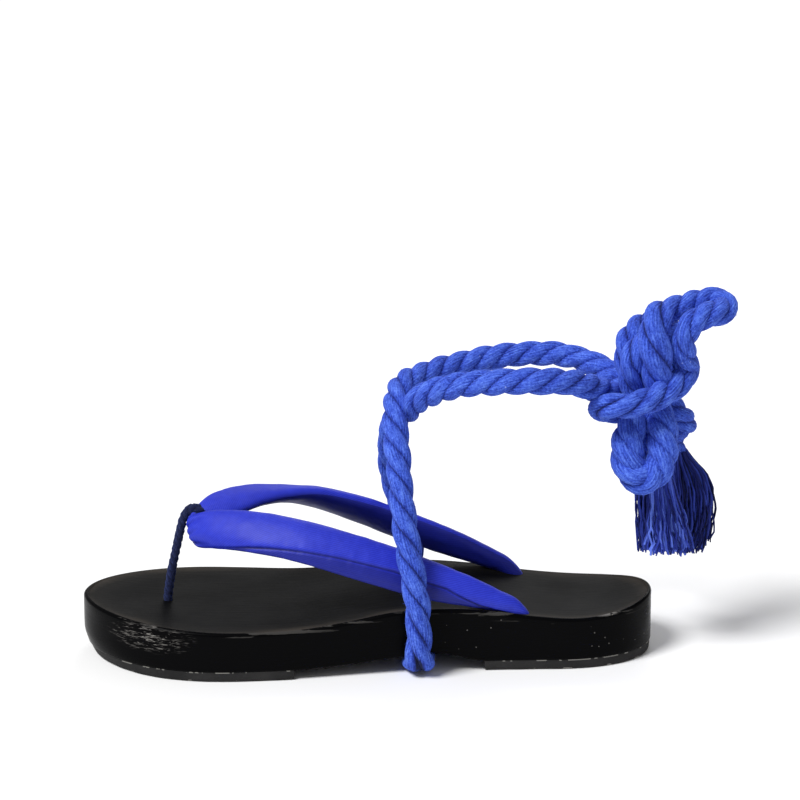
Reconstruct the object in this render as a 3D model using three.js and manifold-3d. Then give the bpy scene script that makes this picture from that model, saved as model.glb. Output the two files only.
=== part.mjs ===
// Geta sandal: a contoured board on two thin treads, a padded V strap on a toe post, and a thick rope that
// passes under the arch, crosses in front of the ankle, runs round it and is tied in a bow behind.
// Millimetres, +Z up. The toe points to -X, the heel to +X, and the floor is z = 0 under the middle of the
// sole. The wearer's little-toe side is -Y.
import * as THREE from "three";
import { mergeVertices } from "three/addons/utils/BufferGeometryUtils.js";
import Module from "manifold-3d";

const wasm = await Module();
wasm.setup();

// ---- driving dimensions ----
const soleLength = 260;
const treadThick = 4.5;
const frontTreadEnd = -33; // x where the front tread stops and the arch begins
const heelTreadStart = 52; // x where the arch ends
const edgeRound = 1.6; // softened top edge of the board
const footbedDish = 1.4; // how far the middle of the footbed lies below its rim
const postDiameter = 4.8;
const ropeDiameter = 12;
const gap = 0.3; // clearance between pieces that meet

// How finely the curved pieces are cut into flat faces.
const soleSides = 80; // points round the sole's outline
const endShrink = 0.12; // how far the board's rings draw in from the toe and heel as they narrow
const strapSides = 16;
const strapStep = 7.2;
const slingSides = 12;
const slingStep = 10;
const cordSides = 10;
const cordStep = 0.6; // length of one step of a cord's tube, in diameters
const weldDistance = 0.01; // points closer than this are one point

const half = soleLength / 2;

// The sole from the side and from above: half width, top of the rim and underside of the board.
const soleStations = [
  { x: -130, halfWidth: 48.0, top: 27.4, under: treadThick },
  { x: -105, halfWidth: 48.0, top: 25.0, under: treadThick },
  { x: -77, halfWidth: 48.0, top: 23.2, under: treadThick },
  { x: -58, halfWidth: 48.0, top: 22.6, under: treadThick },
  { x: -33, halfWidth: 45.6, top: 22.9, under: treadThick },
  { x: -10, halfWidth: 41.6, top: 25.4, under: 5.4 },
  { x: 10, halfWidth: 38.6, top: 28.6, under: 7.2 },
  { x: 30, halfWidth: 36.4, top: 29.6, under: 9.0 },
  { x: 52, halfWidth: 34.9, top: 28.2, under: treadThick },
  { x: 75, halfWidth: 34.2, top: 25.2, under: treadThick },
  { x: 95, halfWidth: 34.0, top: 23.8, under: treadThick },
  { x: 113, halfWidth: 34.0, top: 25.0, under: treadThick },
  { x: 130, halfWidth: 34.0, top: 28.4, under: treadThick },
];
const toeRound = { length: 62, power: 1.85 };
const heelRound = { length: 46, power: 2.15 };
const toeBevel = { inset: 4.0, height: 11, reach: 45 }; // the toe's lower edge leans back under the board
const lowerEdge = 0.8; // cut corner round the underside of the board

// ---- small helpers ----
const ease = (t) => t * t * (3 - 2 * t);
const clamp01 = (t) => Math.min(1, Math.max(0, t));

// A smooth value between the rows of a table.
function along(rows, x, name) {
  let i = 0;
  while (i < rows.length - 2 && x > rows[i + 1].x) i += 1;
  const p = [rows[Math.max(i - 1, 0)], rows[i], rows[i + 1], rows[Math.min(i + 2, rows.length - 1)]];
  const h = p[2].x - p[1].x;
  const t = clamp01((x - p[1].x) / h);
  const slope = (a, b) => (b.x === a.x ? 0 : (b[name] - a[name]) / (b.x - a.x));
  const m1 = slope(p[0], p[2]) * h;
  const m2 = slope(p[1], p[3]) * h;
  const d = p[2][name] - p[1][name];
  return p[1][name] + t * (m1 + t * (3 * d - 2 * m1 - m2 + t * (m1 + m2 - 2 * d)));
}

function toSolid(geometry) {
  const plain = geometry.clone();
  plain.deleteAttribute("normal");
  plain.deleteAttribute("uv");
  const merged = mergeVertices(plain, 1e-3);
  return new wasm.Manifold(
    new wasm.Mesh({
      numProp: 3,
      vertProperties: new Float32Array(merged.attributes.position.array),
      triVerts: new Uint32Array(merged.index.array),
    }),
  );
}

function toGeometry(solid) {
  const { numProp, vertProperties, triVerts } = solid.getMesh();
  const position = new Float32Array((vertProperties.length / numProp) * 3);
  for (let i = 0; i < position.length / 3; i += 1) {
    position.set(vertProperties.subarray(i * numProp, i * numProp + 3), i * 3);
  }
  const geometry = new THREE.BufferGeometry();
  geometry.setAttribute("position", new THREE.BufferAttribute(position, 3));
  geometry.setIndex(new THREE.BufferAttribute(triVerts, 1));
  return geometry;
}

// A closed skin over rings of equal point counts. A fan covers the first and the last ring, unless they
// are already folded flat on themselves.
function skin(rings, fans = true) {
  const count = rings[0].length;
  const points = rings.flat();
  const faces = [];
  for (let r = 0; r + 1 < rings.length; r += 1) {
    for (let i = 0; i < count; i += 1) {
      const j = (i + 1) % count;
      const a = r * count;
      const b = a + count;
      faces.push(a + i, a + j, b + j, a + i, b + j, b + i);
    }
  }
  [rings[0], rings[rings.length - 1]].forEach((ring, end) => {
    if (!fans) return;
    const middle = ring.reduce((sum, p) => sum.add(p), new THREE.Vector3()).divideScalar(count);
    const hub = points.push(middle) - 1;
    const a = end * (rings.length - 1) * count;
    for (let i = 0; i < count; i += 1) {
      const j = (i + 1) % count;
      faces.push(hub, a + (end ? i : j), a + (end ? j : i));
    }
  });
  const geometry = new THREE.BufferGeometry().setFromPoints(points);
  geometry.setIndex(faces);
  return geometry;
}

// ---- sole ----
function halfWidthAt(x) {
  const wide = along(soleStations, x, "halfWidth");
  const toe = clamp01((-half + toeRound.length - x) / toeRound.length);
  const heel = clamp01((x - half + heelRound.length) / heelRound.length);
  const toeFactor = (1 - toe ** toeRound.power) ** (1 / toeRound.power);
  const heelFactor = (1 - heel ** heelRound.power) ** (1 / heelRound.power);
  return wide * toeFactor * heelFactor;
}

// The sole's outline seen from above, counter-clockwise, moved in by inset.
function outline(inset, count) {
  const edge = [];
  for (let i = 0; i < count; i += 1) {
    const turn = (2 * Math.PI * i) / count;
    const x = half * Math.cos(turn);
    edge.push(new THREE.Vector2(x, Math.sign(Math.sin(turn)) * halfWidthAt(x)));
  }
  edge[0].y = 0;
  edge[count / 2].y = 0;
  return edge.map((p, i) => {
    const before = edge[(i + count - 1) % count];
    const after = edge[(i + 1) % count];
    const run = after.clone().sub(before).normalize();
    return new THREE.Vector2(p.x - run.y * inset, p.y + run.x * inset);
  });
}

// How far the toe leans back at height z.
function toeLean(x, z) {
  const near = ease(clamp01((-x - half + toeBevel.reach) / toeBevel.reach));
  return toeBevel.inset * near * clamp01(1 - z / toeBevel.height) ** 1.3;
}

const rimTop = (x) => along(soleStations, x, "top");
const underside = (x) => Math.max(treadThick, along(soleStations, x, "under"));

function footbedHeight(x, y) {
  const across = clamp01(Math.abs(y) / Math.max(halfWidthAt(x), 1));
  return rimTop(x) - footbedDish * (1 - across ** 2);
}

// Rings run from the middle line of the underside, round the edge, to the middle line of the footbed.
function boardSolid() {
  const ring = (inset, shrink, height) =>
    outline(inset, soleSides).map((p) => {
      const x = p.x * (1 - endShrink * (1 - shrink));
      const y = p.y * shrink;
      const z = height(x, y);
      return new THREE.Vector3(x + toeLean(x, z), y, z);
    });
  const rings = [];
  [0, 0.35, 0.7, 1].forEach((s) => rings.push(ring(lowerEdge, s, underside)));
  rings.push(ring(0, 1, (x) => underside(x) + lowerEdge));
  rings.push(ring(0, 1, (x) => Math.max(toeBevel.height, underside(x) + 2 * lowerEdge)));
  rings.push(ring(0, 1, (x) => rimTop(x) - edgeRound));
  rings.push(ring(0.3 * edgeRound, 1, (x) => rimTop(x) - 0.3 * edgeRound));
  rings.push(ring(edgeRound, 1, rimTop));
  [0.94, 0.84, 0.68, 0.46, 0.22, 0].forEach((s) => rings.push(ring(edgeRound, s, footbedHeight)));
  return toSolid(skin(rings, false));
}

// One end of the sole below the board: side is -1 for the forefoot and 1 for the heel.
function treadSolid(side, cut) {
  const ring = (inset, z) => {
    const edge = outline(inset, soleSides);
    const turned = side < 0 ? edge : [...edge.slice(soleSides / 2), ...edge.slice(0, soleSides / 2)];
    const kept = turned.filter((p) => side * (p.x - cut) > 1);
    const corner = halfWidthAt(cut) - inset;
    kept.unshift(new THREE.Vector2(cut, -side * corner));
    kept.push(new THREE.Vector2(cut, side * corner));
    return kept.map((p) => new THREE.Vector3(p.x + toeLean(p.x, z), p.y, z));
  };
  return toSolid(skin([ring(1.2, 0), ring(0.6, 0.7), ring(0.4, treadThick)]));
}

// ---- bands and ropes ----
// Rings along a smooth path through the rows. A row holds the middle (x, y, z), its width and its
// thickness; out(row number, direction of the path) is the way that its flat face looks there.
function bandRings(rows, out, { sides, step, square }) {
  const curve = new THREE.CatmullRomCurve3(rows.map((r) => new THREE.Vector3(r.x, r.y, r.z)));
  const last = rows.length - 1;
  const table = rows.map((r, i) => ({ ...r, x: i }));
  const count = Math.ceil(curve.getLength() / step);
  const rings = [];
  for (let k = 0; k <= count; k += 1) {
    const t = curve.getUtoTmapping(k / count);
    const middle = curve.getPoint(t);
    const run = curve.getTangent(t);
    const thin = out(t * last, run);
    thin.addScaledVector(run, -thin.dot(run)).normalize();
    const wide = thin.clone().cross(run);
    const a = along(table, t * last, "wide") / 2;
    const b = along(table, t * last, "thick") / 2;
    const ring = [];
    for (let i = 0; i < sides; i += 1) {
      const turn = (2 * Math.PI * i) / sides;
      const c = Math.cos(turn);
      const s = Math.sin(turn);
      const u = a * Math.sign(c) * Math.abs(c) ** (2 / square);
      const v = b * Math.sign(s) * Math.abs(s) ** (2 / square);
      ring.push(middle.clone().addScaledVector(wide, u).addScaledVector(thin, v));
    }
    rings.push(ring);
  }
  return rings;
}

// Thong strap, from the apex over the toe post to the hole beside the heel. lean is how far its outer
// face looks up, in degrees. The big-toe arm stands a little higher on the instep.
const littleToeArm = [
  { x: -81, y: -1.5, z: 55.5, wide: 13, thick: 6.5, lean: 10 },
  { x: -77, y: -4.5, z: 57.2, wide: 15.5, thick: 8.0, lean: 20 },
  { x: -67, y: -11.5, z: 60.0, wide: 18.5, thick: 8.8, lean: 34 },
  { x: -50, y: -20.0, z: 61.2, wide: 20.0, thick: 8.8, lean: 42 },
  { x: -28, y: -27.0, z: 58.6, wide: 20.4, thick: 8.6, lean: 42 },
  { x: -5, y: -30.2, z: 52.4, wide: 20.2, thick: 8.4, lean: 38 },
  { x: 18, y: -30.6, z: 44.8, wide: 19.0, thick: 8.2, lean: 32 },
  { x: 38, y: -30.4, z: 38.2, wide: 15.4, thick: 8.2, lean: 26 },
  { x: 54, y: -29.6, z: 32.8, wide: 11.0, thick: 8.0, lean: 22 },
  { x: 65, y: -28.8, z: 28.2, wide: 8.0, thick: 7.2, lean: 20 },
  { x: 70.6, y: -28.2, z: 21.6, wide: 6.6, thick: 6.6, lean: 10 },
  { x: 72, y: -28.0, z: 13.0, wide: 6.2, thick: 6.2, lean: 0 },
];
const bigToeRise = [1.5, 2.4, 4, 5.4, 5.4, 4.2, 2.8, 1.6, 0.6, 0, 0, 0]; // row by row, mm
const bigToeLean = [30, 60, 72, 46, 20, 10, 6, 4, 2, 0, 0, 0]; // how much more its face looks up
const bigToeArm = littleToeArm.map((row, i) => {
  return { ...row, z: row.z + bigToeRise[i], lean: row.lean + bigToeLean[i] };
});

function armSolid(rows, side) {
  const placed = rows.map((r) => ({ ...r, y: -r.y * side }));
  const leans = rows.map((r, i) => ({ x: i, lean: r.lean }));
  const out = (i) => {
    const lean = THREE.MathUtils.degToRad(along(leans, i, "lean"));
    return new THREE.Vector3(0, side * Math.cos(lean), Math.sin(lean));
  };
  return toSolid(skin(bandRings(placed, out, { sides: strapSides, step: strapStep, square: 2.5 })));
}

// ---- rope ----
// The little-toe upright: from the middle of the sling, round the board's edge, up the side, over the
// front of the ankle and back round its big-toe side to the knot.
const outerRun = [
  { x: 22.5, y: 0, z: 4.4, wide: 15.5, thick: 6.8 },
  { x: 22.5, y: -18, z: 4.4, wide: 15.5, thick: 6.8 },
  { x: 22.5, y: -35.4, z: 4.2, wide: 15.0, thick: 6.4 },
  { x: 22.5, y: -41.8, z: 6.8, wide: 13.6, thick: 8.0 },
  { x: 22.5, y: -43.9, z: 13, wide: 12.6, thick: 10.4 },
  { x: 22.4, y: -44.2, z: 22, wide: 12.0, thick: 11.6 },
  { x: 21.8, y: -43.9, z: 34, wide: 12, thick: 12 },
  { x: 20.0, y: -42.4, z: 46, wide: 12, thick: 12 },
  { x: 17.6, y: -37.4, z: 60, wide: 12, thick: 12 },
  { x: 15.6, y: -32.0, z: 74, wide: 12, thick: 12 },
  { x: 14.2, y: -25.2, z: 88, wide: 12, thick: 12 },
  { x: 13.0, y: -17.4, z: 100.4, wide: 12, thick: 12 },
  { x: 12.2, y: -8.6, z: 111.4, wide: 12, thick: 12 },
  { x: 13.4, y: 1.0, z: 118.0, wide: 12, thick: 12 },
  { x: 16.6, y: 10.6, z: 121.6, wide: 12, thick: 12 },
  { x: 25.5, y: 21.6, z: 123.0, wide: 12, thick: 12 },
  { x: 43.0, y: 33.4, z: 125.0, wide: 12, thick: 12 },
  { x: 66.0, y: 40.0, z: 127.4, wide: 12, thick: 12 },
  { x: 89.0, y: 37.0, z: 128.4, wide: 12, thick: 12 },
  { x: 104.0, y: 27.6, z: 126.2, wide: 12, thick: 12 },
  { x: 113.4, y: 16.0, z: 123.2, wide: 12, thick: 12 },
  { x: 118.0, y: 5.0, z: 121.4, wide: 12, thick: 12 },
];
// The big-toe upright: the same, but under the other run at the front, and back round the near side.
const innerRun = [
  { x: 22.5, y: 0, z: 4.4, wide: 15.5, thick: 6.8 },
  { x: 22.5, y: 18, z: 4.4, wide: 15.5, thick: 6.8 },
  { x: 22.5, y: 35.4, z: 4.2, wide: 15.0, thick: 6.4 },
  { x: 22.5, y: 41.8, z: 6.8, wide: 13.6, thick: 8.0 },
  { x: 22.5, y: 43.9, z: 13, wide: 12.6, thick: 10.4 },
  { x: 22.2, y: 44.2, z: 22, wide: 12.0, thick: 11.6 },
  { x: 20.8, y: 43.9, z: 34, wide: 12, thick: 12 },
  { x: 18.0, y: 43.2, z: 46, wide: 12, thick: 12 },
  { x: 14.6, y: 38.2, z: 60, wide: 12, thick: 12 },
  { x: 11.6, y: 32.4, z: 74, wide: 12, thick: 12 },
  { x: 10.6, y: 24.6, z: 87, wide: 12, thick: 12 },
  { x: 11.2, y: 15.4, z: 98.4, wide: 12, thick: 12 },
  { x: 14.0, y: 6.6, z: 107.2, wide: 12, thick: 11 },
  { x: 18.6, y: -1.4, z: 112.6, wide: 12, thick: 11 },
  { x: 22.6, y: -10.0, z: 119.8, wide: 12, thick: 12 },
  { x: 30.0, y: -19.4, z: 126.4, wide: 12, thick: 12 },
  { x: 42.4, y: -29.6, z: 132.2, wide: 12, thick: 12 },
  { x: 59.6, y: -37.8, z: 135.6, wide: 12, thick: 12 },
  { x: 76.6, y: -40.6, z: 136.6, wide: 12, thick: 12 },
  { x: 89.6, y: -36.8, z: 135.0, wide: 12, thick: 12 },
  { x: 98.2, y: -28.6, z: 130.5, wide: 12, thick: 12 },
  { x: 104.3, y: -19.8, z: 126.4, wide: 12, thick: 12 },
  { x: 112.3, y: -8.0, z: 120.1, wide: 12, thick: 12 },
];

// The flat face of the sling looks down; round the rest of the run the section turns with the path.
function runSolid(rows) {
  const down = new THREE.Vector3(0, 0, -1);
  let facing = down;
  const out = (i, run) => {
    facing = facing.clone().addScaledVector(run, -facing.dot(run)).normalize();
    return facing.clone();
  };
  return toSolid(skin(bandRings(rows, out, { sides: slingSides, step: slingStep, square: 2 })));
}

// ---- cords behind the ankle: middles of the rope, mm ----
const cordRoutes = {
  post: [
    [-91.5, 0, 11], [-91.5, 0, 24], [-89.6, 0, 37], [-87.2, 0, 48], [-85.4, 0, 56],
    [-83.6, 0, 62.4], [-81.6, 0, 66],
  ],
  wrap: [
    [111.8, -12, 115.1], [107.9, -15.2, 116.2], [104.3, -20.6, 118.5], [103.4, -27.2, 121.2],
    [105.9, -32, 122.7], [111, -34, 123.2], [116.9, -33.6, 123.7], [123.9, -31, 125],
    [130.8, -26.6, 126.9], [137.2, -20.5, 129.2], [142.1, -13.5, 131.7], [143.3, -6, 134.8],
    [141.3, 0, 137.2],
  ],
  turn: [
    [121.4, -13, 120.1], [118.4, -15.6, 126.8], [117.5, -18, 134.7], [118.3, -19, 141.8],
    [121, -17, 146.3], [124.7, -13, 145.9], [127.8, -10.4, 140], [128.9, -10, 133],
    [130.3, -9.4, 124.8],
  ],
  upperLoop: [
    [131.3, -14, 122.1], [129.6, -19, 130.4], [128.2, -22.6, 139.3], [127.2, -23.6, 148.4],
    [127, -22, 156.2], [129.2, -17.5, 160.3], [134.3, -12, 161.3], [140.4, -8, 161.7],
    [146.9, -4.6, 162.7], [153.3, -3, 163.8], [158, -4.8, 163.8], [159.8, -9.6, 162.5],
    [157.4, -14.8, 161.3], [151.9, -18.6, 161.1], [146.3, -21.4, 159.5], [142, -22.8, 156.1],
    [140.2, -22, 150.4], [140.3, -19, 143.4], [142.2, -14.5, 135.9],
  ],
  backLoop: [
    [124.3, -3.2, 126.2], [119, -6, 131], [116.2, -7, 138], [117.2, -3.4, 144.8],
    [121.6, 3, 149.2], [128, 9.6, 150.4], [135, 15.4, 148.6], [139.8, 19.8, 143.4],
    [140.8, 20.4, 136], [137.2, 16.2, 129.2], [130.2, 9.4, 124.4],
  ],
  nearEnd: [
    [128.2, -10, 120], [129.6, -15, 117], [130.8, -20.5, 113], [131.4, -24, 107.2],
    [131.4, -25.6, 101], [130.5, -26.4, 94.8], [127.5, -27, 90.2], [123.1, -27.4, 88],
    [118.7, -27.2, 89.7], [116, -26.4, 94.7], [115.6, -25, 101.3], [116.8, -22.4, 107.7],
    [119.1, -19, 113], [122.1, -15, 116.9],
  ],
  nearTail: [
    [128.1, -5.4, 117.2], [128.8, -6.2, 112], [128.2, -8.6, 105.4], [128, -10.4, 98.1],
    [129, -11.6, 91.4], [130.7, -12.4, 85.6], [132.3, -13, 81.1],
  ],
  farEnd: [
    [130.7, 5, 116.9], [134.4, 3, 114.6], [139.2, 3.2, 110.8], [143.3, 6.6, 105.7],
    [144.6, 12.6, 101.3], [141.7, 17.8, 98.2], [135.9, 18.4, 97.6], [130.5, 14, 97.9],
    [129.2, 8, 97.6], [133.1, 5.2, 97.2], [138, 7.4, 96.5], [139.9, 10.6, 92.5],
    [140.3, 10.6, 86.6],
  ],
};

// A cord's tube. It is made in two halves that share a step, because a loop's limbs run into each other.
function cordSolid(name, extra = 0, diameter = ropeDiameter) {
  const curve = new THREE.CatmullRomCurve3(cordRoutes[name].map((p) => new THREE.Vector3(...p)));
  const round = [];
  for (let i = 0; i < cordSides; i += 1) {
    const turn = (2 * Math.PI * i) / cordSides;
    const r = diameter / 2 + extra;
    round.push(new THREE.Vector2(r * Math.cos(turn), r * Math.sin(turn)));
  }
  const steps = Math.round(curve.getLength() / (cordStep * diameter));
  const stops = curve.getSpacedPoints(steps);
  const middle = Math.round(steps / 2);
  const halves = [stops.slice(0, middle + 2), stops.slice(middle)].map((points) => {
    const extrudePath = new THREE.CatmullRomCurve3(points);
    const options = { steps: points.length - 1, bevelEnabled: false, extrudePath };
    return toSolid(new THREE.ExtrudeGeometry(new THREE.Shape(round), options));
  });
  return halves[0].add(halves[1]);
}

// Frayed ends: a flat bundle of yarns that spreads as it hangs.
const tassels = {
  near: [
    { x: 132.6, y: -13, z: 83.3, wide: 11, thick: 10 },
    { x: 133.3, y: -13, z: 77.7, wide: 12.5, thick: 10 },
    { x: 134.9, y: -13, z: 67.6, wide: 16, thick: 11 },
    { x: 137, y: -13, z: 48.4, wide: 23, thick: 13 },
  ],
  far: [
    { x: 140.2, y: 10.6, z: 87.6, wide: 11, thick: 10 },
    { x: 140.3, y: 10.2, z: 81.3, wide: 25, thick: 11 },
    { x: 140.8, y: 9.4, z: 73.8, wide: 35, thick: 12 },
    { x: 141.1, y: 8.4, z: 64.9, wide: 37, thick: 13 },
    { x: 140.5, y: 7, z: 43.1, wide: 33, thick: 14 },
  ],
};

function tasselSolid(rows) {
  const out = () => new THREE.Vector3(0, -1, 0);
  return toSolid(skin(bandRings(rows, out, { sides: 14, step: 7, square: 2 })));
}

// ---- joining, cutting and naming ----
const part = new THREE.Group();

const finishes = {
  lacquer: { color: 0x141216, roughness: 0.28, metalness: 0 },
  treadRubber: { color: 0x2b2b2b, roughness: 0.85, metalness: 0 },
  strapCloth: { color: 0x2f2fcd, roughness: 0.75, metalness: 0 },
  postCord: { color: 0x1a2b3a, roughness: 0.8, metalness: 0 },
  cottonRope: { color: 0x3d5fd6, roughness: 0.9, metalness: 0 },
};

// Cuts leave slivers finer than the tools keep apart: their points are welded and their flat faces dropped.
function weld(geometry) {
  const welded = mergeVertices(geometry, weldDistance);
  const corners = Array.from(welded.index.array);
  const faces = [];
  for (let i = 0; i < corners.length; i += 3) {
    const [a, b, c] = corners.slice(i, i + 3);
    if (a !== b && b !== c && c !== a) faces.push(a, b, c);
  }
  welded.setIndex(faces);
  welded.computeVertexNormals();
  return welded;
}

function addNode(name, solid, finish) {
  const bodies = solid.decompose().sort((a, b) => b.volume() - a.volume());
  const mesh = new THREE.Mesh(weld(toGeometry(bodies[0])), new THREE.MeshStandardMaterial(finishes[finish]));
  mesh.name = name;
  part.add(mesh);
}

function rod(x, y, bottom, top, diameter) {
  const cylinder = new THREE.CylinderGeometry(diameter / 2, diameter / 2, top - bottom, 20);
  cylinder.rotateX(Math.PI / 2).translate(x, y, (bottom + top) / 2);
  return toSolid(cylinder);
}

const postHole = { x: -91.5, diameter: postDiameter + 2 * gap, bottom: 10.4 };
const wider = (rows) => rows.map((r) => ({ ...r, wide: r.wide + 2 * gap, thick: r.thick + 2 * gap }));

const board = boardSolid()
  .subtract(rod(postHole.x, 0, postHole.bottom, 40, postHole.diameter))
  .subtract(armSolid(wider(littleToeArm), -1))
  .subtract(armSolid(wider(bigToeArm), 1));
addNode("sole_board", board, "lacquer");
addNode("front_tread", treadSolid(-1, frontTreadEnd), "treadRubber");
addNode("heel_tread", treadSolid(1, heelTreadStart), "treadRubber");

const strap = armSolid(littleToeArm, -1).add(armSolid(bigToeArm, 1));
addNode("hanao_strap", strap.subtract(cordSolid("post", gap, postDiameter)), "strapCloth");
addNode("toe_post", cordSolid("post", 0, postDiameter), "postCord");

const ankleRope = runSolid(outerRun).add(runSolid(innerRun));
addNode("ankle_rope", ankleRope, "cottonRope");

// Each piece of the bow is cut back from the ones made before it.
let made = runSolid(wider(outerRun)).add(runSolid(wider(innerRun)));
function addBowPiece(name, tight, loose) {
  addNode(name, tight.subtract(made), "cottonRope");
  made = made.add(loose);
}
const joined = (names, extra) => names.map((n) => cordSolid(n, extra)).reduce((a, b) => a.add(b));
const bowPieces = {
  bow_knot: ["wrap", "turn"],
  bow_loop_upper: ["upperLoop"],
  bow_loop_back: ["backLoop"],
  rope_end_near: ["nearEnd", "nearTail"],
  rope_end_far: ["farEnd"],
};
Object.entries(bowPieces).forEach(([name, runs]) => {
  addBowPiece(name, joined(runs, 0), joined(runs, gap));
});
Object.entries(tassels).forEach(([name, rows]) => {
  addBowPiece(`tassel_${name}`, tasselSolid(rows), tasselSolid(wider(rows)));
});

export default part;
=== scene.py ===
import math
from functools import partial

import bmesh
import bpy
import numpy as np
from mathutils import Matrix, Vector, noise


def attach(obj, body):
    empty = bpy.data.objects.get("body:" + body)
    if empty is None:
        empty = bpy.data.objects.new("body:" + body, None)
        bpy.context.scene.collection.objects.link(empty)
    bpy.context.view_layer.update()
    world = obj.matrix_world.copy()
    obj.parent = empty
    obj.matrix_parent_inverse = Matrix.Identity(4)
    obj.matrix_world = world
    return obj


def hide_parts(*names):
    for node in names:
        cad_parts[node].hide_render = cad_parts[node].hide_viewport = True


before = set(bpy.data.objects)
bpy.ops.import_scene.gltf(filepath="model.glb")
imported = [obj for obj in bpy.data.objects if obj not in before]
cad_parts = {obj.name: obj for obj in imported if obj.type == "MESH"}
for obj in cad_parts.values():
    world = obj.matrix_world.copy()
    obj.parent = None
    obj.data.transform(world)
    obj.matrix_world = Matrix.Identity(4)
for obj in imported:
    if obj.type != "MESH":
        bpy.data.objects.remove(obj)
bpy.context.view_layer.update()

mm = 0.001


# Small helpers.
def say(words):
    print("geta:", words)


def linear(hexColour, alpha=1.0):
    channels = [int(hexColour[i : i + 2], 16) / 255 for i in (1, 3, 5)]
    curved = [c / 12.92 if c <= 0.04045 else ((c + 0.055) / 1.055) ** 2.4 for c in channels]
    return (*curved, alpha)


# A pattern's scale from its real size in mm.
def scaleOf(size):
    return 1 / (size * mm)


# Adds a node with its settings, and a colour ramp's stops. An input is a value or the socket that feeds it,
# by name or in order. What comes back is the output asked for, or else the first one in use.
def addNode(tree, kind, inputs=(), out=None, stops=(), **settings):
    made = tree.nodes.new(kind)
    for name, value in settings.items():
        setattr(made, name, value)
    for key, value in inputs.items() if isinstance(inputs, dict) else enumerate(inputs):
        if isinstance(value, bpy.types.NodeSocket):
            tree.links.new(value, made.inputs[key])
        else:
            made.inputs[key].default_value = value
    if stops:
        elements = made.color_ramp.elements
        while len(elements) < len(stops):
            elements.new(0.5)
        for element, (position, colour) in zip(elements, stops):
            element.position, element.color = position, linear(colour)
    if out is not None:
        return made.outputs[out]
    return next((socket for socket in made.outputs if socket.enabled), None)


# A material, with addNode for its own tree.
def newMaterial(name):
    made = bpy.data.materials.new(name)
    made.use_nodes = True
    made.node_tree.nodes.clear()
    return made, partial(addNode, made.node_tree)


def newPiece(name, mesh, materials=(), smooth=True):
    made = bpy.data.objects.new(name, mesh)
    bpy.context.scene.collection.objects.link(made)
    for material in materials:
        mesh.materials.append(material)
    mesh.polygons.foreach_set("use_smooth", [smooth] * len(mesh.polygons))
    return made


def meshFrom(name, points, faces, edges=()):
    made = bpy.data.meshes.new(name)
    made.from_pydata([tuple(p) for p in points], edges, faces)
    made.update()
    return made


def storeValues(mesh, name, values, kind="FLOAT"):
    layer = mesh.attributes.new(name, kind, "POINT")
    field = "vector" if kind == "FLOAT_VECTOR" else "value"
    layer.data.foreach_set(field, np.asarray(values, dtype=float).ravel())


# Makes one closed skin of the meshes, with its faces outwards, in the first one's place.
def joinMeshes(meshes, mergeWithin=0):
    joined = bmesh.new()
    for mesh in meshes:
        joined.from_mesh(mesh)
    if mergeWithin:
        bmesh.ops.remove_doubles(joined, verts=joined.verts, dist=mergeWithin)
    bmesh.ops.recalc_face_normals(joined, faces=joined.faces)
    joined.to_mesh(meshes[0])
    joined.free()


# Runs the piece's Geometry Nodes tree once and keeps its result as a plain mesh.
def runTree(piece, tree, values):
    modifier = piece.modifiers.new(tree.name, "NODES")
    modifier.node_group = tree
    for item in tree.interface.items_tree:
        if item.item_type == "SOCKET" and item.in_out == "INPUT" and item.name in values:
            modifier[item.identifier] = values[item.name]
    bpy.context.view_layer.update()
    graph = bpy.context.evaluated_depsgraph_get()
    result = bpy.data.meshes.new_from_object(piece.evaluated_get(graph), depsgraph=graph)
    piece.modifiers.clear()
    piece.data = result
    result.name = piece.name
    result.polygons.foreach_set("use_smooth", [True] * len(result.polygons))


# A Geometry Nodes tree with its named inputs, addNode for it, and the inputs' sockets.
def startTree(name, sockets):
    tree = bpy.data.node_groups.new(name, "GeometryNodeTree")
    tree.interface.new_socket("Geometry", in_out="INPUT", socket_type="NodeSocketGeometry")
    for socketName, kind, value in sockets:
        made = tree.interface.new_socket(socketName, in_out="INPUT", socket_type="NodeSocket" + kind)
        if value is not None:
            made.default_value = value
    tree.interface.new_socket("Geometry", in_out="OUTPUT", socket_type="NodeSocketGeometry")
    return tree, partial(addNode, tree), tree.nodes.new("NodeGroupInput").outputs


def endTree(node, geometry, material):
    whole = node("GeometryNodeRealizeInstances", {"Geometry": geometry})
    node("NodeGroupOutput", [node("GeometryNodeSetMaterial", {"Geometry": whole, "Material": material})])


# Smooth routes.
# Points evenly spaced on the smooth curve through the rows (mm in, metres out), each with its place in
# the rows and its distance from the start.
def smoothRoute(rows, spacing):
    p = np.array([row[:3] for row in rows], dtype=float)
    p = np.vstack([2 * p[0] - p[1], p, 2 * p[-1] - p[-2]])
    fine, places = [], []
    for i in range(1, len(p) - 2):
        a, b, c, d = p[i - 1 : i + 3]
        da, db, dc = (np.linalg.norm(q) ** 0.5 for q in (b - a, c - b, d - c))
        m1 = ((b - a) / da - (c - a) / (da + db) + (c - b) / db) * db
        m2 = ((c - b) / db - (d - b) / (db + dc) + (d - c) / dc) * db
        for t in np.linspace(0, 1, 48, endpoint=i == len(p) - 3):
            fine.append(b + t * (m1 + t * (3 * (c - b) - 2 * m1 - m2 + t * (m1 + m2 - 2 * (c - b)))))
            places.append(i - 1 + t)
    fine = np.array(fine)
    run = np.concatenate([[0], np.cumsum(np.linalg.norm(np.diff(fine, axis=0), axis=1))])
    stops = np.linspace(0, run[-1], max(2, round(run[-1] / spacing) + 1))
    points = np.column_stack([np.interp(stops, run, fine[:, k]) for k in range(3)])
    return points * mm, np.interp(stops, run, places), stops * mm


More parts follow.
